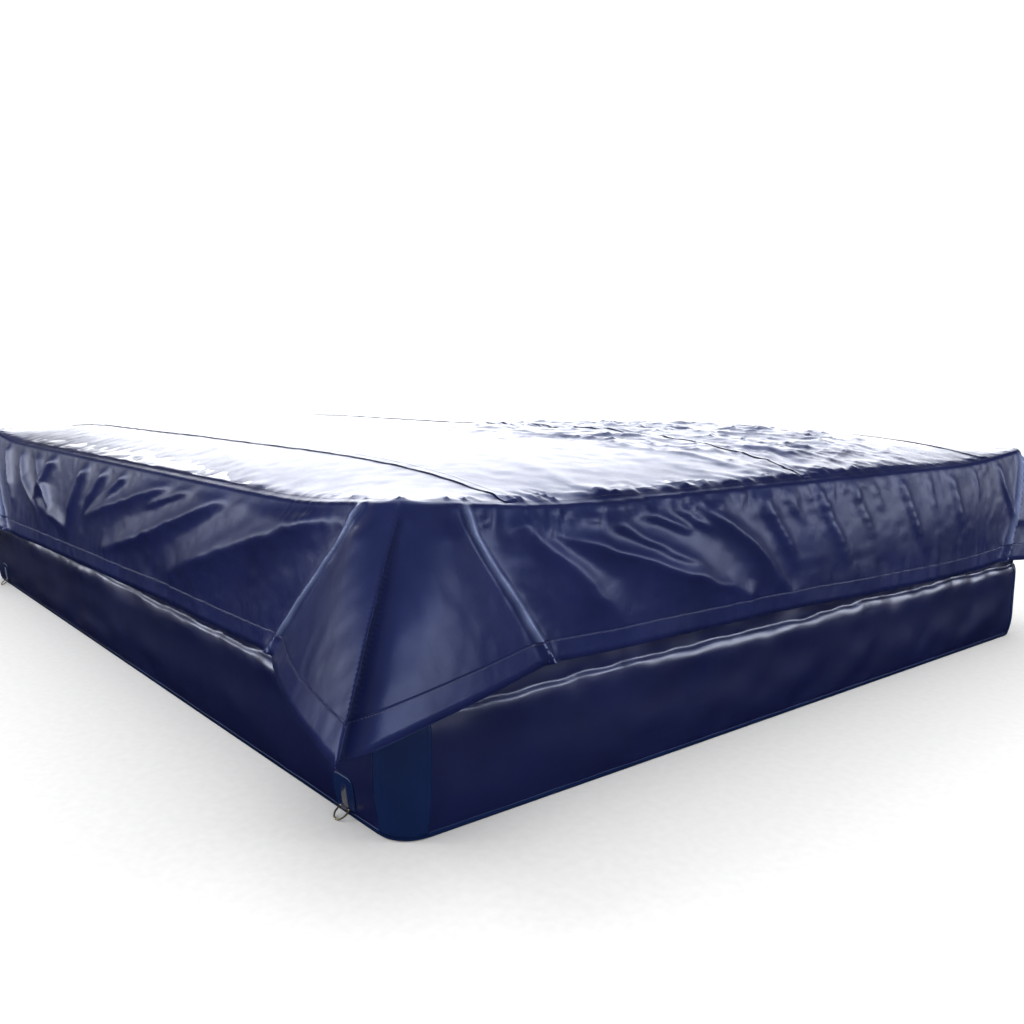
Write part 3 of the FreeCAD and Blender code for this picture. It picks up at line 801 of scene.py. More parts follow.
def pucker_strength(side, s):
    if side == "front":
        return 0.004 + 0.006 * bell((s - 0.3) / 0.5)
    if side == "right":
        return 0.007 + 0.017 * smooth((s - 0.1) / 0.3) * (1 - smooth((s - 2.0) / 0.8))
    return 0.006 + 0.004 * bell((s - 0.6) / 0.7)


def hem_lift(name, s):
    """Share of its fall that a side loses where its folds draw the hem up."""
    if name == "right":
        return 0.115 * (1 - 0.65 * smooth((s - 1.2) / 2.6))
    if name == "front":
        return 0.070 * (1 - smooth((s - 1.5) / 2.8))
    return 0.03 * (1 + noise(s, 0 * s, 0.9, 25))


def skirt_wall(name, c, q, fine=1.0):
    """Points of one hanging side, c along it from its middle and q down the cloth."""
    side = SIDES[name]
    from_start = side["half"] - side["start"] * c
    from_end = 2 * side["half"] - from_start
    reach, fall = edge_profile(q)
    z = edge_height(from_start, from_end) - fall * (1 - hem_lift(name, from_start) * smooth((q - 0.05) / 0.3))
    in_play = smooth((q - 0.02) / 0.05)
    hang = fold_shift(from_start, z, side["folds"], side["seed"]) * in_play
    hang = hang + 0.010 * noise(c, z * 0.3, 0.5, side["seed"] + 4) * smooth(q / SKIRT)
    small = hem_creases(c, z, side["seed"] + 6) * in_play
    small = small + edge_puckers(c, q, pucker_strength(name, from_start), side["seed"] + 8)
    small = small + 0.0010 * noise(c, z, 0.035, side["seed"] + 10) * in_play
    out = side_sign(name) * (side["wall"] + WALL_OUT - EDGE_ROUND + reach + (hang + fine * small))
    return np.stack([c, out, z] if is_long(name) else [out, c, z], -1)


def corner_line(signs, t):
    """The diagonal crease of a corner fold, from the top corner (t = 0) to its tip (t = 1)."""
    fold = CORNER_FOLDS[signs]
    inset = (1 - 1 / math.sqrt(2)) * CORNER_R
    top = np.array([signs[0] * (TOP_X - inset), signs[1] * (TOP_Y - inset), EDGE_Z + 0.046])
    out_x, out_y, tip_z = fold["tip"]
    tip = np.array([signs[0] * (HALF_X + out_x), signs[1] * (HALF_Y + out_y), tip_z])
    swell = np.array([0.80 * signs[0], 0.55 * signs[1], 0.25]) * fold["swell"]
    return top + (tip - top) * t[..., None] + swell * np.sin(math.pi * np.clip(t, 0, 1) ** 0.75)[..., None]


def crease_bump(distance, width, height):
    return height * np.exp(-1.3 * (np.sqrt((distance / width) ** 2 + 0.05) - math.sqrt(0.05)))


def fold_ends(name):
    """Both ends of a side: which end, its corner, and where its side crease starts and ends."""
    for end in (-1, 1):
        corner = (end, side_sign(name)) if is_long(name) else (side_sign(name), end)
        yield end, corner, CORNER_FOLDS[corner]["long" if is_long(name) else "short"]


def fold_wear_and_highlight(name, c, q):
    """How much a corner fold's side creases are paled, from 0 to 1: partly crease wear, partly a painted
    highlight along their crests.
    """
    t = np.clip(q / SKIRT, 0.0, 1.0)
    wear_and_highlight = np.zeros_like(c)
    for end, _, (first, last) in fold_ends(name):
        crease = first + (last - first) * t ** 1.1
        gap = (SIDES[name]["half"] - end * c - crease) / np.hypot(1.0, (last - first) / SKIRT)
        gap = gap - 0.004 + 0.003 * noise(q, 0 * q, 0.05, 28)
        line = bell(gap / (0.011 + 0.006 * t)) * smooth(q / 0.04)
        wear_and_highlight = np.maximum(wear_and_highlight, line * (1.0 - 0.35 * t) * (0.85 + 0.3 * noise(q, c, 0.06, 27)))
    return wear_and_highlight


def hung_side(name, c, q):
    """A whole hanging side with the halves of the corner folds at its two ends."""
    side = SIDES[name]
    points = skirt_wall(name, c, q)
    t = np.clip(q / SKIRT, 0.0, 1.0)
    for end, corner, (first, last) in fold_ends(name):
        crease = first + (last - first) * t ** 1.1
        from_corner = side["half"] - end * c
        across = (crease - from_corner) / (crease + q)
        w = np.clip(across, 0.0, 1.0)
        hinge = skirt_wall(name, end * (side["half"] - crease), q, 0.0)
        fine = skirt_wall(name, end * (side["half"] - crease), q) - hinge
        facet = hinge + (corner_line(corner, t) - hinge) * w[..., None]
        facet = facet + fine * (1 - smooth(w / 0.12))[..., None]
        bow = CORNER_FOLDS[corner]["bow"][0 if is_long(name) else 1]
        out = np.array([*SIDE_OUT[name][:2], 0.35])
        out = out / np.linalg.norm(out)
        bulge = bow * np.sin(math.pi * w) * smooth(t / 0.2)
        if corner == CORNERS["front_right"] and name == "right":
            from_tip = (1 - w) * (crease + q)
            groove = crease_bump(from_tip - 0.014 - 0.038 * t, 0.012 + 0.026 * t, 0.044 * t + 0.022)
            bulge = bulge - groove * smooth(from_tip / 0.02) * smooth(t / 0.12)
        flat = 0.0018 * noise(c, q, 0.06, side["seed"] + 12) * smooth(q / 0.1)
        facet = facet + out * (bulge + flat)[..., None]
        points = np.where((across > 0)[..., None], facet, points)
        gap = (from_corner - crease) / np.hypot(1.0, (last - first) / SKIRT)
        ridge = crease_bump(gap, 0.011 + 0.010 * t, 0.024 + 0.010 * t) * smooth(q / 0.05)
        points = points + np.array([*SIDE_OUT[name][:2], 0.15]) * ridge[..., None]
    return points


def skirt_points(name, c, q):
    """A hanging side, with its top row moved onto the deck's edge."""
    top_row = hung_side(name, c, np.zeros_like(c))
    blend = 1.0 - smooth(q / 0.10)
    return hung_side(name, c, q) + (edge_rim(name, c) - top_row) * blend[..., None]


def edge_rim(name, c):
    """The deck's own edge, at the same place along the side."""
    limit, edge = (TOP_X, TOP_Y) if is_long(name) else (TOP_Y, TOP_X)
    c = np.clip(c * limit / SIDES[name]["half"], -limit, limit)
    edge = side_sign(name) * edge + 0.0 * c
    return deck_points(c, edge) if is_long(name) else deck_points(edge, c)


def deck_points(x, y):
    """The cover's top, lying on the crown, with gathers near its edges and long soft wrinkles."""
    rx, ry = rounded_plan(x, y, TOP_X, TOP_Y, CORNER_R - 0.01)
    z = crown(rx * HALF_X / TOP_X, ry * HALF_Y / TOP_Y) + CLOTH_LIFT
    in_x, in_y = TOP_X - np.abs(x), TOP_Y - np.abs(y)
    inside = np.minimum(in_x, in_y)
    lift_x = edge_height(np.abs(HALF_X - x), np.abs(HALF_X + x)) - EDGE_Z
    lift_y = edge_height(np.abs(HALF_Y - y), np.abs(HALF_Y + y)) - EDGE_Z
    edge_lift = np.where(in_x < in_y, lift_y, lift_x)
    both = np.maximum(lift_x, lift_y)
    edge_lift = np.where(inside < 0.0005, edge_lift, np.minimum(both, edge_lift))
    z = z + edge_lift * np.exp(-inside / 0.25)
    gathers = np.zeros_like(z)
    for name, side in SIDES.items():
        c, across, depth = (x, y, in_y) if is_long(name) else (y, x, in_x)
        strength = pucker_strength(name, side["half"] - side["start"] * c)
        here = (across < 0) == (side_sign(name) < 0)
        gathers = gathers + np.where(here, edge_puckers(c, depth, strength, side["seed"] + 8), 0.0)
    patch = smooth((1.4 - np.hypot((x - 1.35) / 1.05, (y - 0.30) / 1.0)) / 0.7)
    crinkle = 0.016 * ridges(x + 0.5 * y, y - 0.4 * x, 0.17, 71) * patch
    crinkle = crinkle + 0.008 * ridges(x - 0.8 * y, y, 0.07, 72) * patch
    strip = bell((in_x - 0.25) / 0.30)
    crinkle = crinkle + 0.007 * ridges(x * 0.9 + 0.25 * y, y * 0.35, 0.075, 73) * strip * patch
    soft = 0.004 * ridges(x * 0.3 + y, y * 0.8, 0.4, 74) + 0.0012 * (1 + noise(x, y, 0.05, 75))
    z = z + (gathers + crinkle + soft) * smooth(inside / 0.03)
    return np.stack([rx, ry, z], -1)


# The cloth's grid is finer within FOLD_ZONE of the deck's edges, and finest on the skirts.
FOLD_ZONE = 0.62
HANG_STEP = 0.0115


class Cloth:
    """The cover as a grid over its flat cut, with every flat point's place in space."""

    def __init__(self):
        self.us = self.coords(TOP_X)
        self.vs = self.coords(TOP_Y)
        gu, gv = np.meshgrid(self.us, self.vs, indexing="ij")
        self.points = self.place(gu, gv)
        self.normals = grid_normals(self.points)

    @staticmethod
    def coords(limit):
        inner = limit - FOLD_ZONE
        middle = np.linspace(-inner, inner, int(2 * inner / 0.024) + 1)
        near = np.linspace(inner, limit, int(FOLD_ZONE / 0.0125) + 1)[1:]
        hang = limit + np.linspace(0.0, SKIRT, int(SKIRT / HANG_STEP) + 1)[1:]
        end = np.concatenate([near, hang])
        return np.concatenate([-end[::-1], middle, end])

    def place(self, u, v):
        """Deck inside the rectangle, else the side whose edge is further behind the point."""
        over_u = np.abs(u) - TOP_X
        over_v = np.abs(v) - TOP_Y
        result = deck_points(np.clip(u, -TOP_X, TOP_X), np.clip(v, -TOP_Y, TOP_Y))
        # Per-point strength of the pale crease line: partly crease wear, partly painted highlight.
        self.wear_and_highlight = np.zeros_like(u)
        for name, side in SIDES.items():
            if is_long(name):
                q, c, limit, nearest = over_v, u, TOP_X, over_v >= over_u
            else:
                q, c, limit, nearest = over_u, v, TOP_Y, over_u > over_v
            mask = (q > 0) & (np.sign(v if is_long(name) else u) == side_sign(name)) & nearest
            beyond = np.sign(c) * (side["half"] + np.abs(c) - limit)
            along = np.where(np.abs(c) > limit, beyond, c * (side["half"] / limit))
            result[mask] = skirt_points(name, along[mask], q[mask])
            self.wear_and_highlight[mask] = fold_wear_and_highlight(name, along[mask], q[mask])
        return result

    def at(self, u, v):
        """Position and outward normal at flat coordinates, by interpolation."""
        u, v = np.asarray(u, float), np.asarray(v, float)
        i = np.clip(np.searchsorted(self.us, u) - 1, 0, len(self.us) - 2)
        j = np.clip(np.searchsorted(self.vs, v) - 1, 0, len(self.vs) - 2)
        fu = ((u - self.us[i]) / (self.us[i + 1] - self.us[i]))[..., None]
        fv = ((v - self.vs[j]) / (self.vs[j + 1] - self.vs[j]))[..., None]
        blend = []
        for field in (self.points, self.normals):
            low = field[i, j] * (1 - fu) + field[i + 1, j] * fu
            high = field[i, j + 1] * (1 - fu) + field[i + 1, j + 1] * fu
            blend.append(low * (1 - fv) + high * fv)
        normal = blend[1] / (np.linalg.norm(blend[1], axis=-1, keepdims=True) + 1e-12)
        return blend[0], normal


def cover_cloth(cloth):
    """The cover's mesh. Cells on a corner fold's crease are cut in two along it."""
    rows, columns = cloth.points.shape[:2]
    hang = int(SKIRT / HANG_STEP)
    faces = []
    for face in grid_faces(rows, columns).tolist():
        i, j = divmod(face[0], columns)
        from_x, from_y = min(i, rows - 2 - i), min(j, columns - 2 - j)
        if from_x == from_y and from_x < hang:
            a, b, c, d = face
            along = (i < rows / 2) == (j < columns / 2)
            faces += [(a, b, c), (a, c, d)] if along else [(a, b, d), (b, c, d)]
        else:
            faces.append(tuple(face))
    piece = new_mesh("cover_cloth", cloth.points.reshape(-1, 3), faces)
    # Stores the pale crease line's strength per point for the cover material: partly crease wear, partly
    # painted highlight.
    wear_and_highlight = piece.data.attributes.new("wear_and_highlight", "FLOAT", "POINT")
    wear_and_highlight.data.foreach_set("value", cloth.wear_and_highlight.reshape(-1).astype(np.float32))
    return piece


def make_cover():
    cloth = Cloth()
    piece = cover_cloth(cloth)
    nodes = ["cover_strip_%d" % n for n in (1, 2, 3, 4)]
    nodes += ["cover_skirt_" + side for side in SIDES]
    nodes += ["cover_ear_" + name for name in CORNERS]
    finish_piece(piece, COVER, "cover", nodes)
    return cloth


# ---- trim that follows the cover ----

# From one stitch to the next, and half a stitch's width.
STITCH = 0.0085
STITCH_WIDTH = 0.0009
SEAM_WIDTH = 0.05


def perimeter_flat(q, step):
    """Flat coordinates once round the cover at a distance q beyond its top edge, in steps."""
    half_u, half_v = TOP_X + q, TOP_Y + q
    us = np.linspace(-half_u, half_u, int(2 * half_u / step) + 1)
    vs = np.linspace(-half_v, half_v, int(2 * half_v / step) + 1)
    return boundary_loop(us, vs)


def hem_band(cloth):
    """The hem's folded-over layer, a second thickness of cloth outside the skirt's lower edge."""
    depth = SKIRT - np.array([HEM_WIDTH, HEM_WIDTH - 0.006, 0.055, 0.025, 0.001])
    us = cloth.us[np.abs(cloth.us) <= TOP_X + 0.001]
    vs = cloth.vs[np.abs(cloth.vs) <= TOP_Y + 0.001]
    corner_steps = np.linspace(0.0, 1.0, 50)[1:]
    rows = []
    for q in depth:
        ends_u = TOP_X + corner_steps * q
        ends_v = TOP_Y + corner_steps * q
        loop = boundary_loop(np.concatenate([-ends_u[::-1], us, ends_u]),
                             np.concatenate([-ends_v[::-1], vs, ends_v]))
        place, normal = cloth.at(*loop.T)
        rows.append(place + normal * 0.0022)
    return slab("cover_hem", *oriented(np.array(rows), normal), 0.0018, wrap=True)


def stitch_row(name, cloth, flat, lift):
    """Short raised stitches along a line of flat points, with a small gap after each."""
    place, normal = cloth.at(flat[:, 0], flat[:, 1])
    ahead = np.roll(place, -1, axis=0) - place
    reach = np.linalg.norm(ahead, axis=1, keepdims=True)
    keep = reach[:, 0] < 3 * STITCH
    place, normal, ahead = place[keep], normal[keep], ahead[keep] / reach[keep]
    side = np.cross(normal, ahead)
    corners = []
    for along, across, up in ((0.0, 0, 0.0), (0.25, 1, 0.0), (0.75, 1, 0.0), (1.0, 0, 0.0),
                              (0.75, -1, 0.0), (0.25, -1, 0.0), (0.35, 0, 1.0), (0.65, 0, 1.0)):
        corners.append(place + ahead * along * STITCH * 0.72 + side * across * STITCH_WIDTH
                       + normal * (lift + up * STITCH_WIDTH * 0.9 - 0.0004))
    pattern = [(0, 1, 6), (1, 2, 7, 6), (2, 3, 7), (3, 4, 7), (4, 5, 6, 7), (5, 0, 6), (5, 4, 3, 2, 1, 0)]
    row = new_mesh(name, np.stack(corners, 1).reshape(-1, 3), repeated(pattern, len(place), len(corners)))
    finish_piece(row, THREAD, "cover")


def seam_tape(name, cloth, middle_v, width):
    """A sewn lap seam across the cover: a flat tape with one free edge that stands up a little."""
    us = cloth.us[np.abs(cloth.us) <= TOP_X - 0.01]
    offsets = np.array([-0.5, -0.42, -0.3, 0.0, 0.3, 0.42, 0.5]) * width
    lifts = np.array([0.0036, 0.0030, 0.0019, 0.0017, 0.0017, 0.0017, 0.0016])
    rows = []
    for offset, lift in zip(offsets, lifts):
        place, normal = cloth.at(us, 0.0 * us + middle_v + offset)
        wave = 0.0010 * noise(us, us * 0.0 + offset, 0.05, 91) * (lift > 0.0025)
        rows.append(place + normal * (lift + wave)[..., None])
    return slab(name, *oriented(np.array(rows), (0, 0, 1)), 0.0014)


def cover_trim(cloth):
    finish_piece(hem_band(cloth), HEM, "cover")
    stitch_row("cover_hem_stitches", cloth, perimeter_flat(SKIRT - HEM_WIDTH + 0.007, STITCH), 0.0030)
    stitch_row("cover_edge_stitches", cloth, perimeter_flat(-0.014, STITCH), 0.0012)
    us = np.arange(-TOP_X + 0.015, TOP_X - 0.015, STITCH)
    for number, middle in enumerate(SEAM_YS, 1):
        tape = seam_tape("seam_tape_%d" % number, cloth, middle, SEAM_WIDTH)
        finish_piece(tape, HEM, "cover", ["cover_seam_tape_%d" % number])
        for edge, side in (("low", -0.3), ("high", 0.3)):
            flat = np.stack([us, 0.0 * us + middle + side * SEAM_WIDTH], -1)
            stitch_row("seam_stitches_%d_%s" % (number, edge), cloth, flat, 0.0024)


def grip_band(name, side, lift, thickness, body, replaced):
    """One straight run of hook or loop tape on a side wall."""
    half, edge = side_halves(side)
    half = half - 0.3
    c = np.linspace(-half, half, int(half / 0.02))
    z = np.linspace(GRIP_LOW_Z, GRIP_HIGH_Z, 7)
    zz, cc = np.meshgrid(z, c, indexing="ij")
    if body == "chamber":
        grid = side_wall(side, cc, zz, lift)
    else:
        flat = side_sign(side) * (edge + lift + 0.0004 * noise(cc, zz, 0.03, 95))
        grid = np.stack([cc, flat, zz] if is_long(side) else [flat, cc, zz], -1)
    band = slab(name + side, *oriented(grid, SIDE_OUT[side]), thickness)
    finish_piece(band, GRIP, body, [replaced])


def grip_tapes():
    for side in SIDES:
        grip_band("hook_tape_", side, 0.0030, 0.0028, "chamber", "hook_strips")
        grip_band("loop_tape_", side, 0.0, 0.0016, "cover", "loop_strips")


# ---- trim on the chamber's walls ----

# How square a patch's corners are: 2 would make it round.
PATCH_POWER = 5.0
# Radius of the webbing's loop round a ring's bar, and half the width of the stitched box above it.
LOOP_R = 0.0048
BOX_HALF = 0.015
# Welded tapes right round the chamber: lower and upper edge, and height of the bead.
WELDS = {
    "weld_foot": (0.004, 0.020, 0.0006),
    "weld_under_waist": (WAIST_Z - 0.045, WAIST_Z - 0.006, 0.0020),
    "weld_over_waist": (WAIST_Z + 0.008, WAIST_Z + 0.045, 0.0020),
    "weld_top_edge": (0.895, 0.935, 0.0020),
}


def corner_bands():
    """Welded upright strips that close the chamber's corners, with a bead along both edges."""
    reach = CORNER_R + 0.004
    run = np.linspace(0.0, 1.0, 33)
    first = np.stack([HALF_X - reach * (1 - run[:-1]), HALF_Y + 0 * run[:-1]], -1)
    second = np.stack([HALF_X + 0 * run, HALF_Y - reach * run], -1)
    flat = np.concatenate([first, second])
    zs = np.concatenate([np.linspace(0.012, WAIST_Z - 0.004, 44), np.linspace(WAIST_Z + 0.004, 0.935, 44)])
    bead = np.ones(len(flat)) * 0.0016
    bead[[0, -1]] = 0.0012
    bead[[2, 3, -3, -4]] = 0.0034
    zz, kk = np.meshgrid(zs, np.arange(len(flat)), indexing="ij")
    for name, (side_x, side_y) in CORNERS.items():
        grid = wall_point(flat[kk, 0] * side_x, flat[kk, 1] * side_y, zz, bead[kk])
        piece = slab("corner_band_" + name, *oriented(grid, (side_x, side_y, 0)), 0.0016)
        finish_piece(piece, BAND, "chamber", ["corner_strip_" + name])


def weld_loop(name, z_low, z_high, lift):
    """A welded tape right round the chamber."""
    loop = boundary_loop(spaced(HALF_X, 0.02, 0.04, 0.2), spaced(HALF_Y, 0.02, 0.04, 0.2))
    shape = np.array([0.2, 1.0, 0.8, 0.8, 0.8, 1.0, 0.2])
    zs = np.linspace(z_low, z_high, len(shape))
    grid = np.array([wall_point(*loop.T, z + 0 * loop[:, 0], lift * k) for z, k in zip(zs, shape)])
    outwards = np.column_stack([loop, 0 * loop[:, 0]])
    piece = slab(name, *oriented(grid, outwards), 0.0015, wrap=True)
    finish_piece(piece, BAND, "chamber")


def rounded_patch(name, middle, z_middle, half_c, half_z, side, lift, thickness):
    """A flat patch with round corners that follows the wall."""
    t = np.linspace(-1, 1, 25)
    zz, cc = np.meshgrid(t, t, indexing="ij")
    size = np.maximum(np.abs(cc), np.abs(zz)) + 1e-9
    round_size = (np.abs(cc) ** PATCH_POWER + np.abs(zz) ** PATCH_POWER) ** (1 / PATCH_POWER) + 1e-9
    factor = size / round_size
    c = middle + cc * factor * half_c
    z = z_middle + zz * factor * half_z
    border = np.where((size > 0.80) & (size < 0.92), 0.0009, 0.0) - np.where(size > 0.97, 0.0008, 0.0)
    return slab(name, *oriented(side_wall(side, c, z, lift + border), SIDE_OUT[side]), thickness)


def sweep_band(path, width, thickness, ribs=5):
    """A flat webbing band of the given width (along X) whose middle follows a path in the YZ plane."""
    path = np.array(path, float)
    ahead = np.gradient(path, axis=0)
    ahead = ahead / np.linalg.norm(ahead, axis=1, keepdims=True)
    out = np.stack([-ahead[:, 1], ahead[:, 0]], -1)
    across = np.linspace(-0.5, 0.5, 2 * ribs + 9)
    rib = 1.0 + 0.18 * np.cos(across * 2 * math.pi * ribs)
    rib = rib * (1 - 0.5 * smooth((np.abs(across) - 0.45) / 0.05))
    sheets = []
    for half in (thickness / 2, -thickness / 2):
        rows = [np.stack([across * width, *(point[:, None] + half * normal[:, None] * rib)], -1)
                for point, normal in zip(path, out)]
        sheets.append(np.array(rows))
    return closed_strip(*sheets)


def box_stitching(name, middle, side_y, z_low, z_high):
    """Stitches that hold an anchor's webbing to its patch: a box with both diagonals."""
    corners = [(-BOX_HALF, z_low), (BOX_HALF, z_low), (BOX_HALF, z_high), (-BOX_HALF, z_high)]
    points = []
    for a, b in ((0, 1), (1, 2), (2, 3), (3, 0), (0, 2), (3, 1)):
        (xa, za), (xb, zb) = corners[a], corners[b]
        count = max(2, int(math.hypot(xb - xa, zb - za) / 0.0032))
        dx, dz = (xb - xa) / count, (zb - za) / count
        for k in range(count):
            f = (k + 0.5) / count
            x, z = xa + (xb - xa) * f, za + (zb - za) * f
            y = HALF_Y + float(wall_reach(np.array(z))) + 0.0062
            scale = 0.0005 / (math.hypot(dx, dz) + 1e-9)
            for along, across, up in ((-0.4, 0, 0), (0, 1, 0), (0.4, 0, 0), (0, -1, 0), (0, 0, 0.0008)):
                points.append((middle + x + dx * along - dz * scale * across, side_y * (y + up),
                               z + dz * along + dx * scale * across))
    pattern = [(0, 1, 4), (1, 2, 4), (2, 3, 4), (3, 0, 4), (3, 2, 1, 0)]
    stitches = new_mesh(name, points, repeated(pattern, len(points) // 5, 5))
    finish_piece(stitches, THREAD, "chamber")


def anchors():
    """Reinforcing patch, webbing with box stitching, and a D-ring at the foot of both long sides."""
    for name, (_, side_y) in CORNERS.items():
        low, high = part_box("anchor_patch_" + name)
        middle = (low.x + high.x) / 2
        side = "front" if side_y < 0 else "back"
        patch = rounded_patch("anchor_pad_" + name, middle, (low.z + high.z) / 2, (high.x - low.x) / 2,
                              (high.z - low.z) / 2, side, 0.0028, 0.0022)
        finish_piece(patch, BAND, "chamber", ["anchor_patch_" + name])

        joint = [j for j in frame["joints"] if j["name"] == "ring_%s_swing" % name][0]
        bar_y, bar_z = abs(joint["pos_m"][1]), joint["pos_m"][2]
        top_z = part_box("anchor_webbing_" + name)[1].z
        zs = np.linspace(top_z, bar_z + 0.012, 14)
        path = [(y + LOOP_R, z) for y, z in zip(HALF_Y + wall_reach(zs), zs)]
        path += [(bar_y + LOOP_R * math.cos(a), bar_z + LOOP_R * math.sin(a))
                 for a in np.linspace(math.pi, -0.2 * math.pi, 20)]
        points, faces = sweep_band(path, 0.038, 0.0022)
        points[:, 0] += middle
        points[:, 1] *= side_y
        webbing = new_mesh("anchor_strap_" + name, points, faces[:, ::-1] if side_y > 0 else faces)
        finish_piece(webbing, WEBBING, "chamber", ["anchor_webbing_" + name])
        box_stitching("anchor_stitches_" + name, middle, side_y, bar_z + 0.030, top_z - 0.006)
        paint(frame["nodes"]["anchor_ring_" + name], STEEL)


# ---- inflation sleeve ----

PLEATS = 17


def inflation_sleeve():
    """A soft tube of thin sheet that sags between the wall and the strap that ties it."""
    low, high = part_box("inflation_sleeve")
    x0, z0 = (low.x + high.x) / 2, (low.z + high.z) / 2
    radius = (high.x - low.x) / 2
    strap_low, strap_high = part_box("sleeve_strap")
    strap_y = (strap_low.y + strap_high.y) / 2
    ys = np.concatenate([np.linspace(HALF_Y - 0.02, strap_y - 0.03, 26),
                         np.linspace(strap_y - 0.02, high.y, 22)])
    turns = np.linspace(0, 2 * math.pi, 145)[:-1]
    radial = np.stack([np.cos(turns), 0 * turns, np.sin(turns)], -1)
    yy, aa = np.meshgrid(ys, turns, indexing="ij")
    near_strap = bell((yy - strap_y) / 0.035)
    mouth = smooth((yy - strap_y) / (high.y - strap_y))
    pleat = 0.006 * np.sin(aa * PLEATS + 3 * noise(aa, yy, 0.8, 81)) * (near_strap + 0.35 * mouth)
    soft = 0.004 * noise(np.cos(aa) * 2, np.sin(aa) * 2 + yy * 6, 0.35, 82)
    r = radius - 0.008 - 0.010 * near_strap - 0.004 * mouth
    r = r + (pleat + soft) * smooth((yy - HALF_Y - 0.01) / 0.05)
    sag = 0.006 * np.sin(math.pi * np.clip((yy - HALF_Y) / (high.y - HALF_Y), 0, 1))
    tube_grid = np.stack([x0 + r * np.cos(aa), yy, z0 + r * np.sin(aa) - sag], -1)
    outer, normals = oriented(tube_grid, radial)
    tube = slab("sleeve_tube", outer, normals, 0.0016, wrap=True)
    finish_piece(tube, COVER, "chamber", ["inflation_sleeve"])
    hem = slab("sleeve_hem", outer[-5:] + normals[-5:] * 0.0018, normals[-5:], 0.0016, wrap=True)
    finish_piece(hem, HEM, "chamber")

    band_low, band_high = strap_low.y + 0.002, strap_high.y - 0.002
    yy, aa = np.meshgrid(np.linspace(band_low, band_high, 11), turns, indexing="ij")
    rib = 0.0004 * np.cos((yy - band_low) / (band_high - band_low) * 2 * math.pi * 4)
    r = radius - 0.0015 + 0.0008 * np.sin(aa * PLEATS) + rib
    grid = np.stack([x0 + r * np.cos(aa), yy, z0 + r * np.sin(aa) - 0.004], -1)
    strap = slab("sleeve_tie", *oriented(grid, radial), 0.0022, wrap=True)
    finish_piece(strap, WEBBING, "chamber", ["sleeve_strap"])
    path = [(0.003 * math.sin(z * 40), z) for z in np.linspace(0.0, -0.085, 18)]
    points, faces = sweep_band(path, band_high - band_low, 0.0022)
    turned = np.stack([points[:, 1] + x0 + radius + 0.002, points[:, 0] + strap_y, points[:, 2] + z0], -1)
    finish_piece(new_mesh("sleeve_tie_tail", turned, faces), WEBBING, "chamber")

    rr, aa = np.meshgrid(np.linspace(radius + 0.003, 0.178, 12), turns, indexing="ij")
    bead = np.where((rr > 0.160) & (rr < 0.168), 0.0010, 0.0)
    grid = side_wall("back", x0 + rr * np.cos(aa), z0 + rr * np.sin(aa), 0.0026 + bead)
    collar = slab("sleeve_patch", *oriented(grid, SIDE_OUT["back"]), 0.0020, wrap=True)
    finish_piece(collar, BAND, "chamber", ["sleeve_collar"])


# ---- deflation zip ----

TOOTH_PITCH = 0.005


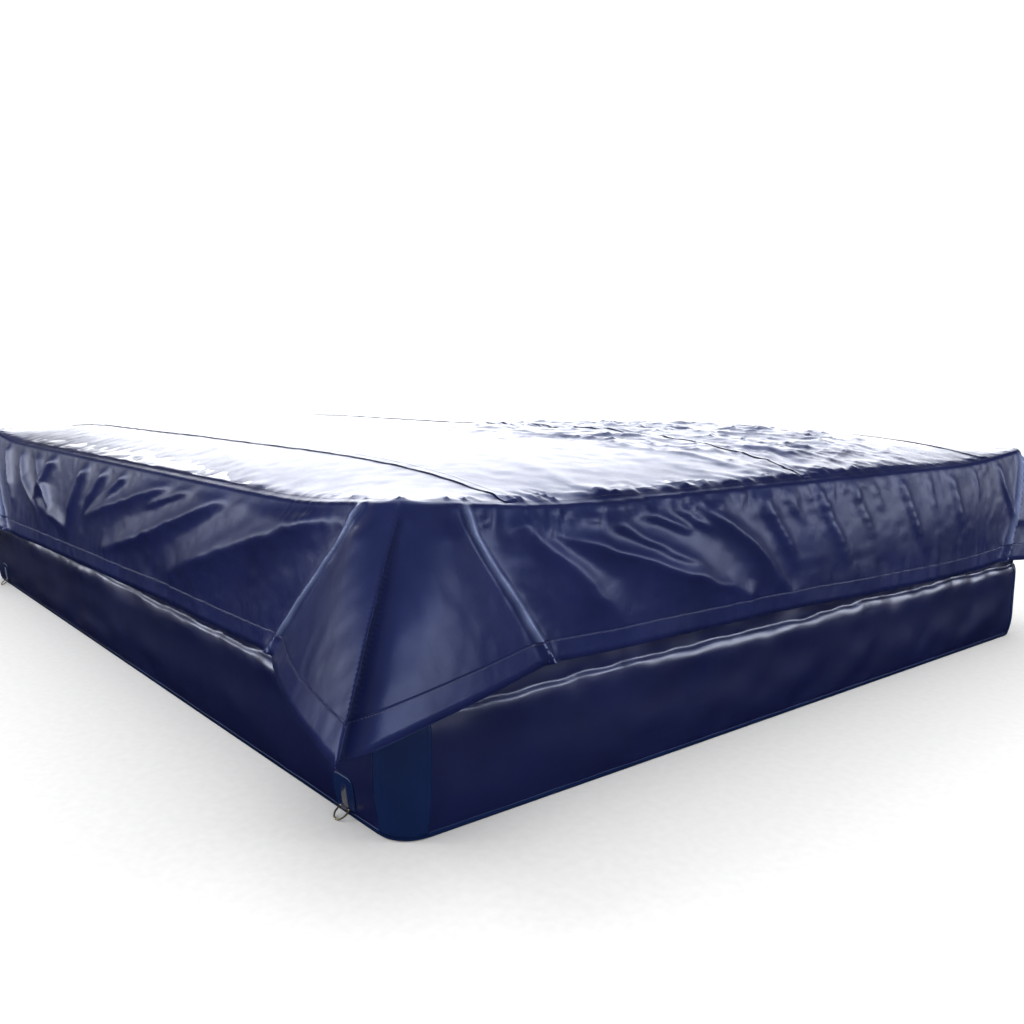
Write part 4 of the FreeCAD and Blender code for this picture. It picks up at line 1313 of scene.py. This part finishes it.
def deflation_zip():
    """Two tapes with interlocking teeth between them, and the metal slider and puller."""
    low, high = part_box("zip_teeth")
    middle_z = (low.z + high.z) / 2
    cs = np.linspace(ZIP_LOW.x, ZIP_HIGH.x, 140)
    for name, z_a, z_b in (("upper", middle_z + 0.0052, ZIP_HIGH.z), ("lower", ZIP_LOW.z, middle_z - 0.0052)):
        zz, cc = np.meshgrid(np.linspace(z_a, z_b, 6), cs, indexing="ij")
        grid = side_wall("back", cc, zz, 0.0014)
        tape = slab("zip_tape_" + name, *oriented(grid, SIDE_OUT["back"]), 0.0012)
        finish_piece(tape, WEBBING, "chamber", ["zip_tapes"])
    points = []
    count = int((high.x - low.x) / TOOTH_PITCH)
    for n in range(count):
        x = low.x + (n + 0.5) * TOOTH_PITCH
        side = 1 if n % 2 else -1
        z_a, z_b = sorted((middle_z - 0.0015 * side, middle_z + 0.0043 * side))
        for y, half, inset in ((HALF_Y - 0.001, 0.0017, 0.0), (high.y - 0.0008, 0.0017, 0.0),
                               (high.y, 0.0011, 0.0006)):
            z_a, z_b = z_a + inset, z_b - inset
            points += [(x - half, y, z_a), (x + half, y, z_a), (x + half, y, z_b), (x - half, y, z_b)]
    pattern = [(0, 1, 2, 3), (4, 5, 1, 0), (5, 6, 2, 1), (6, 7, 3, 2), (7, 4, 0, 3),
               (8, 9, 5, 4), (9, 10, 6, 5), (10, 11, 7, 6), (11, 8, 4, 7), (11, 10, 9, 8)]
    teeth = new_mesh("zip_chain", points, repeated(pattern, count, 12), False)
    finish_piece(teeth, ZIP_TEETH, "chamber", ["zip_teeth"])
    for node in ("zip_slider", "zip_puller"):
        paint(frame["nodes"][node], ZIP_METAL)


def storm_flap():
    """A strip of sheet welded above the zip, hanging in front of it with a turned hem."""
    low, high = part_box("zip_flap")
    top_y, front_y = HALF_Y - 0.002, HALF_Y + 0.0195
    run = np.array([0.0, 0.2, 0.4, 0.6, 0.8, 1.0])
    path_y = np.concatenate([top_y + (front_y - top_y) * smooth(run) * 0.95 + 0.001, np.full(12, front_y)])
    path_z = np.concatenate([high.z - 0.001 - 0.024 * run ** 1.4, np.linspace(high.z - 0.034, low.z, 12)])
    xs = np.linspace(low.x, high.x, 150)
    rows = []
    for y, z in zip(path_y, path_z):
        down = (high.z - z) / (high.z - low.z)
        wave = 0.0012 * noise(xs, 0 * xs + z, 0.12, 97) * down
        rows.append(np.stack([xs, y + wave + 0 * xs, z + 0 * xs], -1))
    grid, normals = oriented(np.array(rows), SIDE_OUT["back"])
    flap = slab("flap_sheet", grid, normals, 0.0014)
    finish_piece(flap, COVER, "zip_flap", ["zip_flap"])
    hem_grid = grid[-4:] + normals[-4:] * 0.0015
    hem = slab("flap_hem", *oriented(hem_grid, SIDE_OUT["back"]), 0.0012)
    finish_piece(hem, HEM, "zip_flap")


make_base()
cloth = make_cover()
cover_trim(cloth)
grip_tapes()
corner_bands()
for name, (z_low, z_high, lift) in WELDS.items():
    weld_loop(name, z_low, z_high, lift)
anchors()
inflation_sleeve()
deflation_zip()
storm_flap()

BAFFLES = ["%s_baffle_%d" % (level, n) for level in ("lower", "upper") for n in (1, 2, 3)]
for node in ["middle_sheet"] + BAFFLES:
    paint(frame["nodes"][node], INNER)
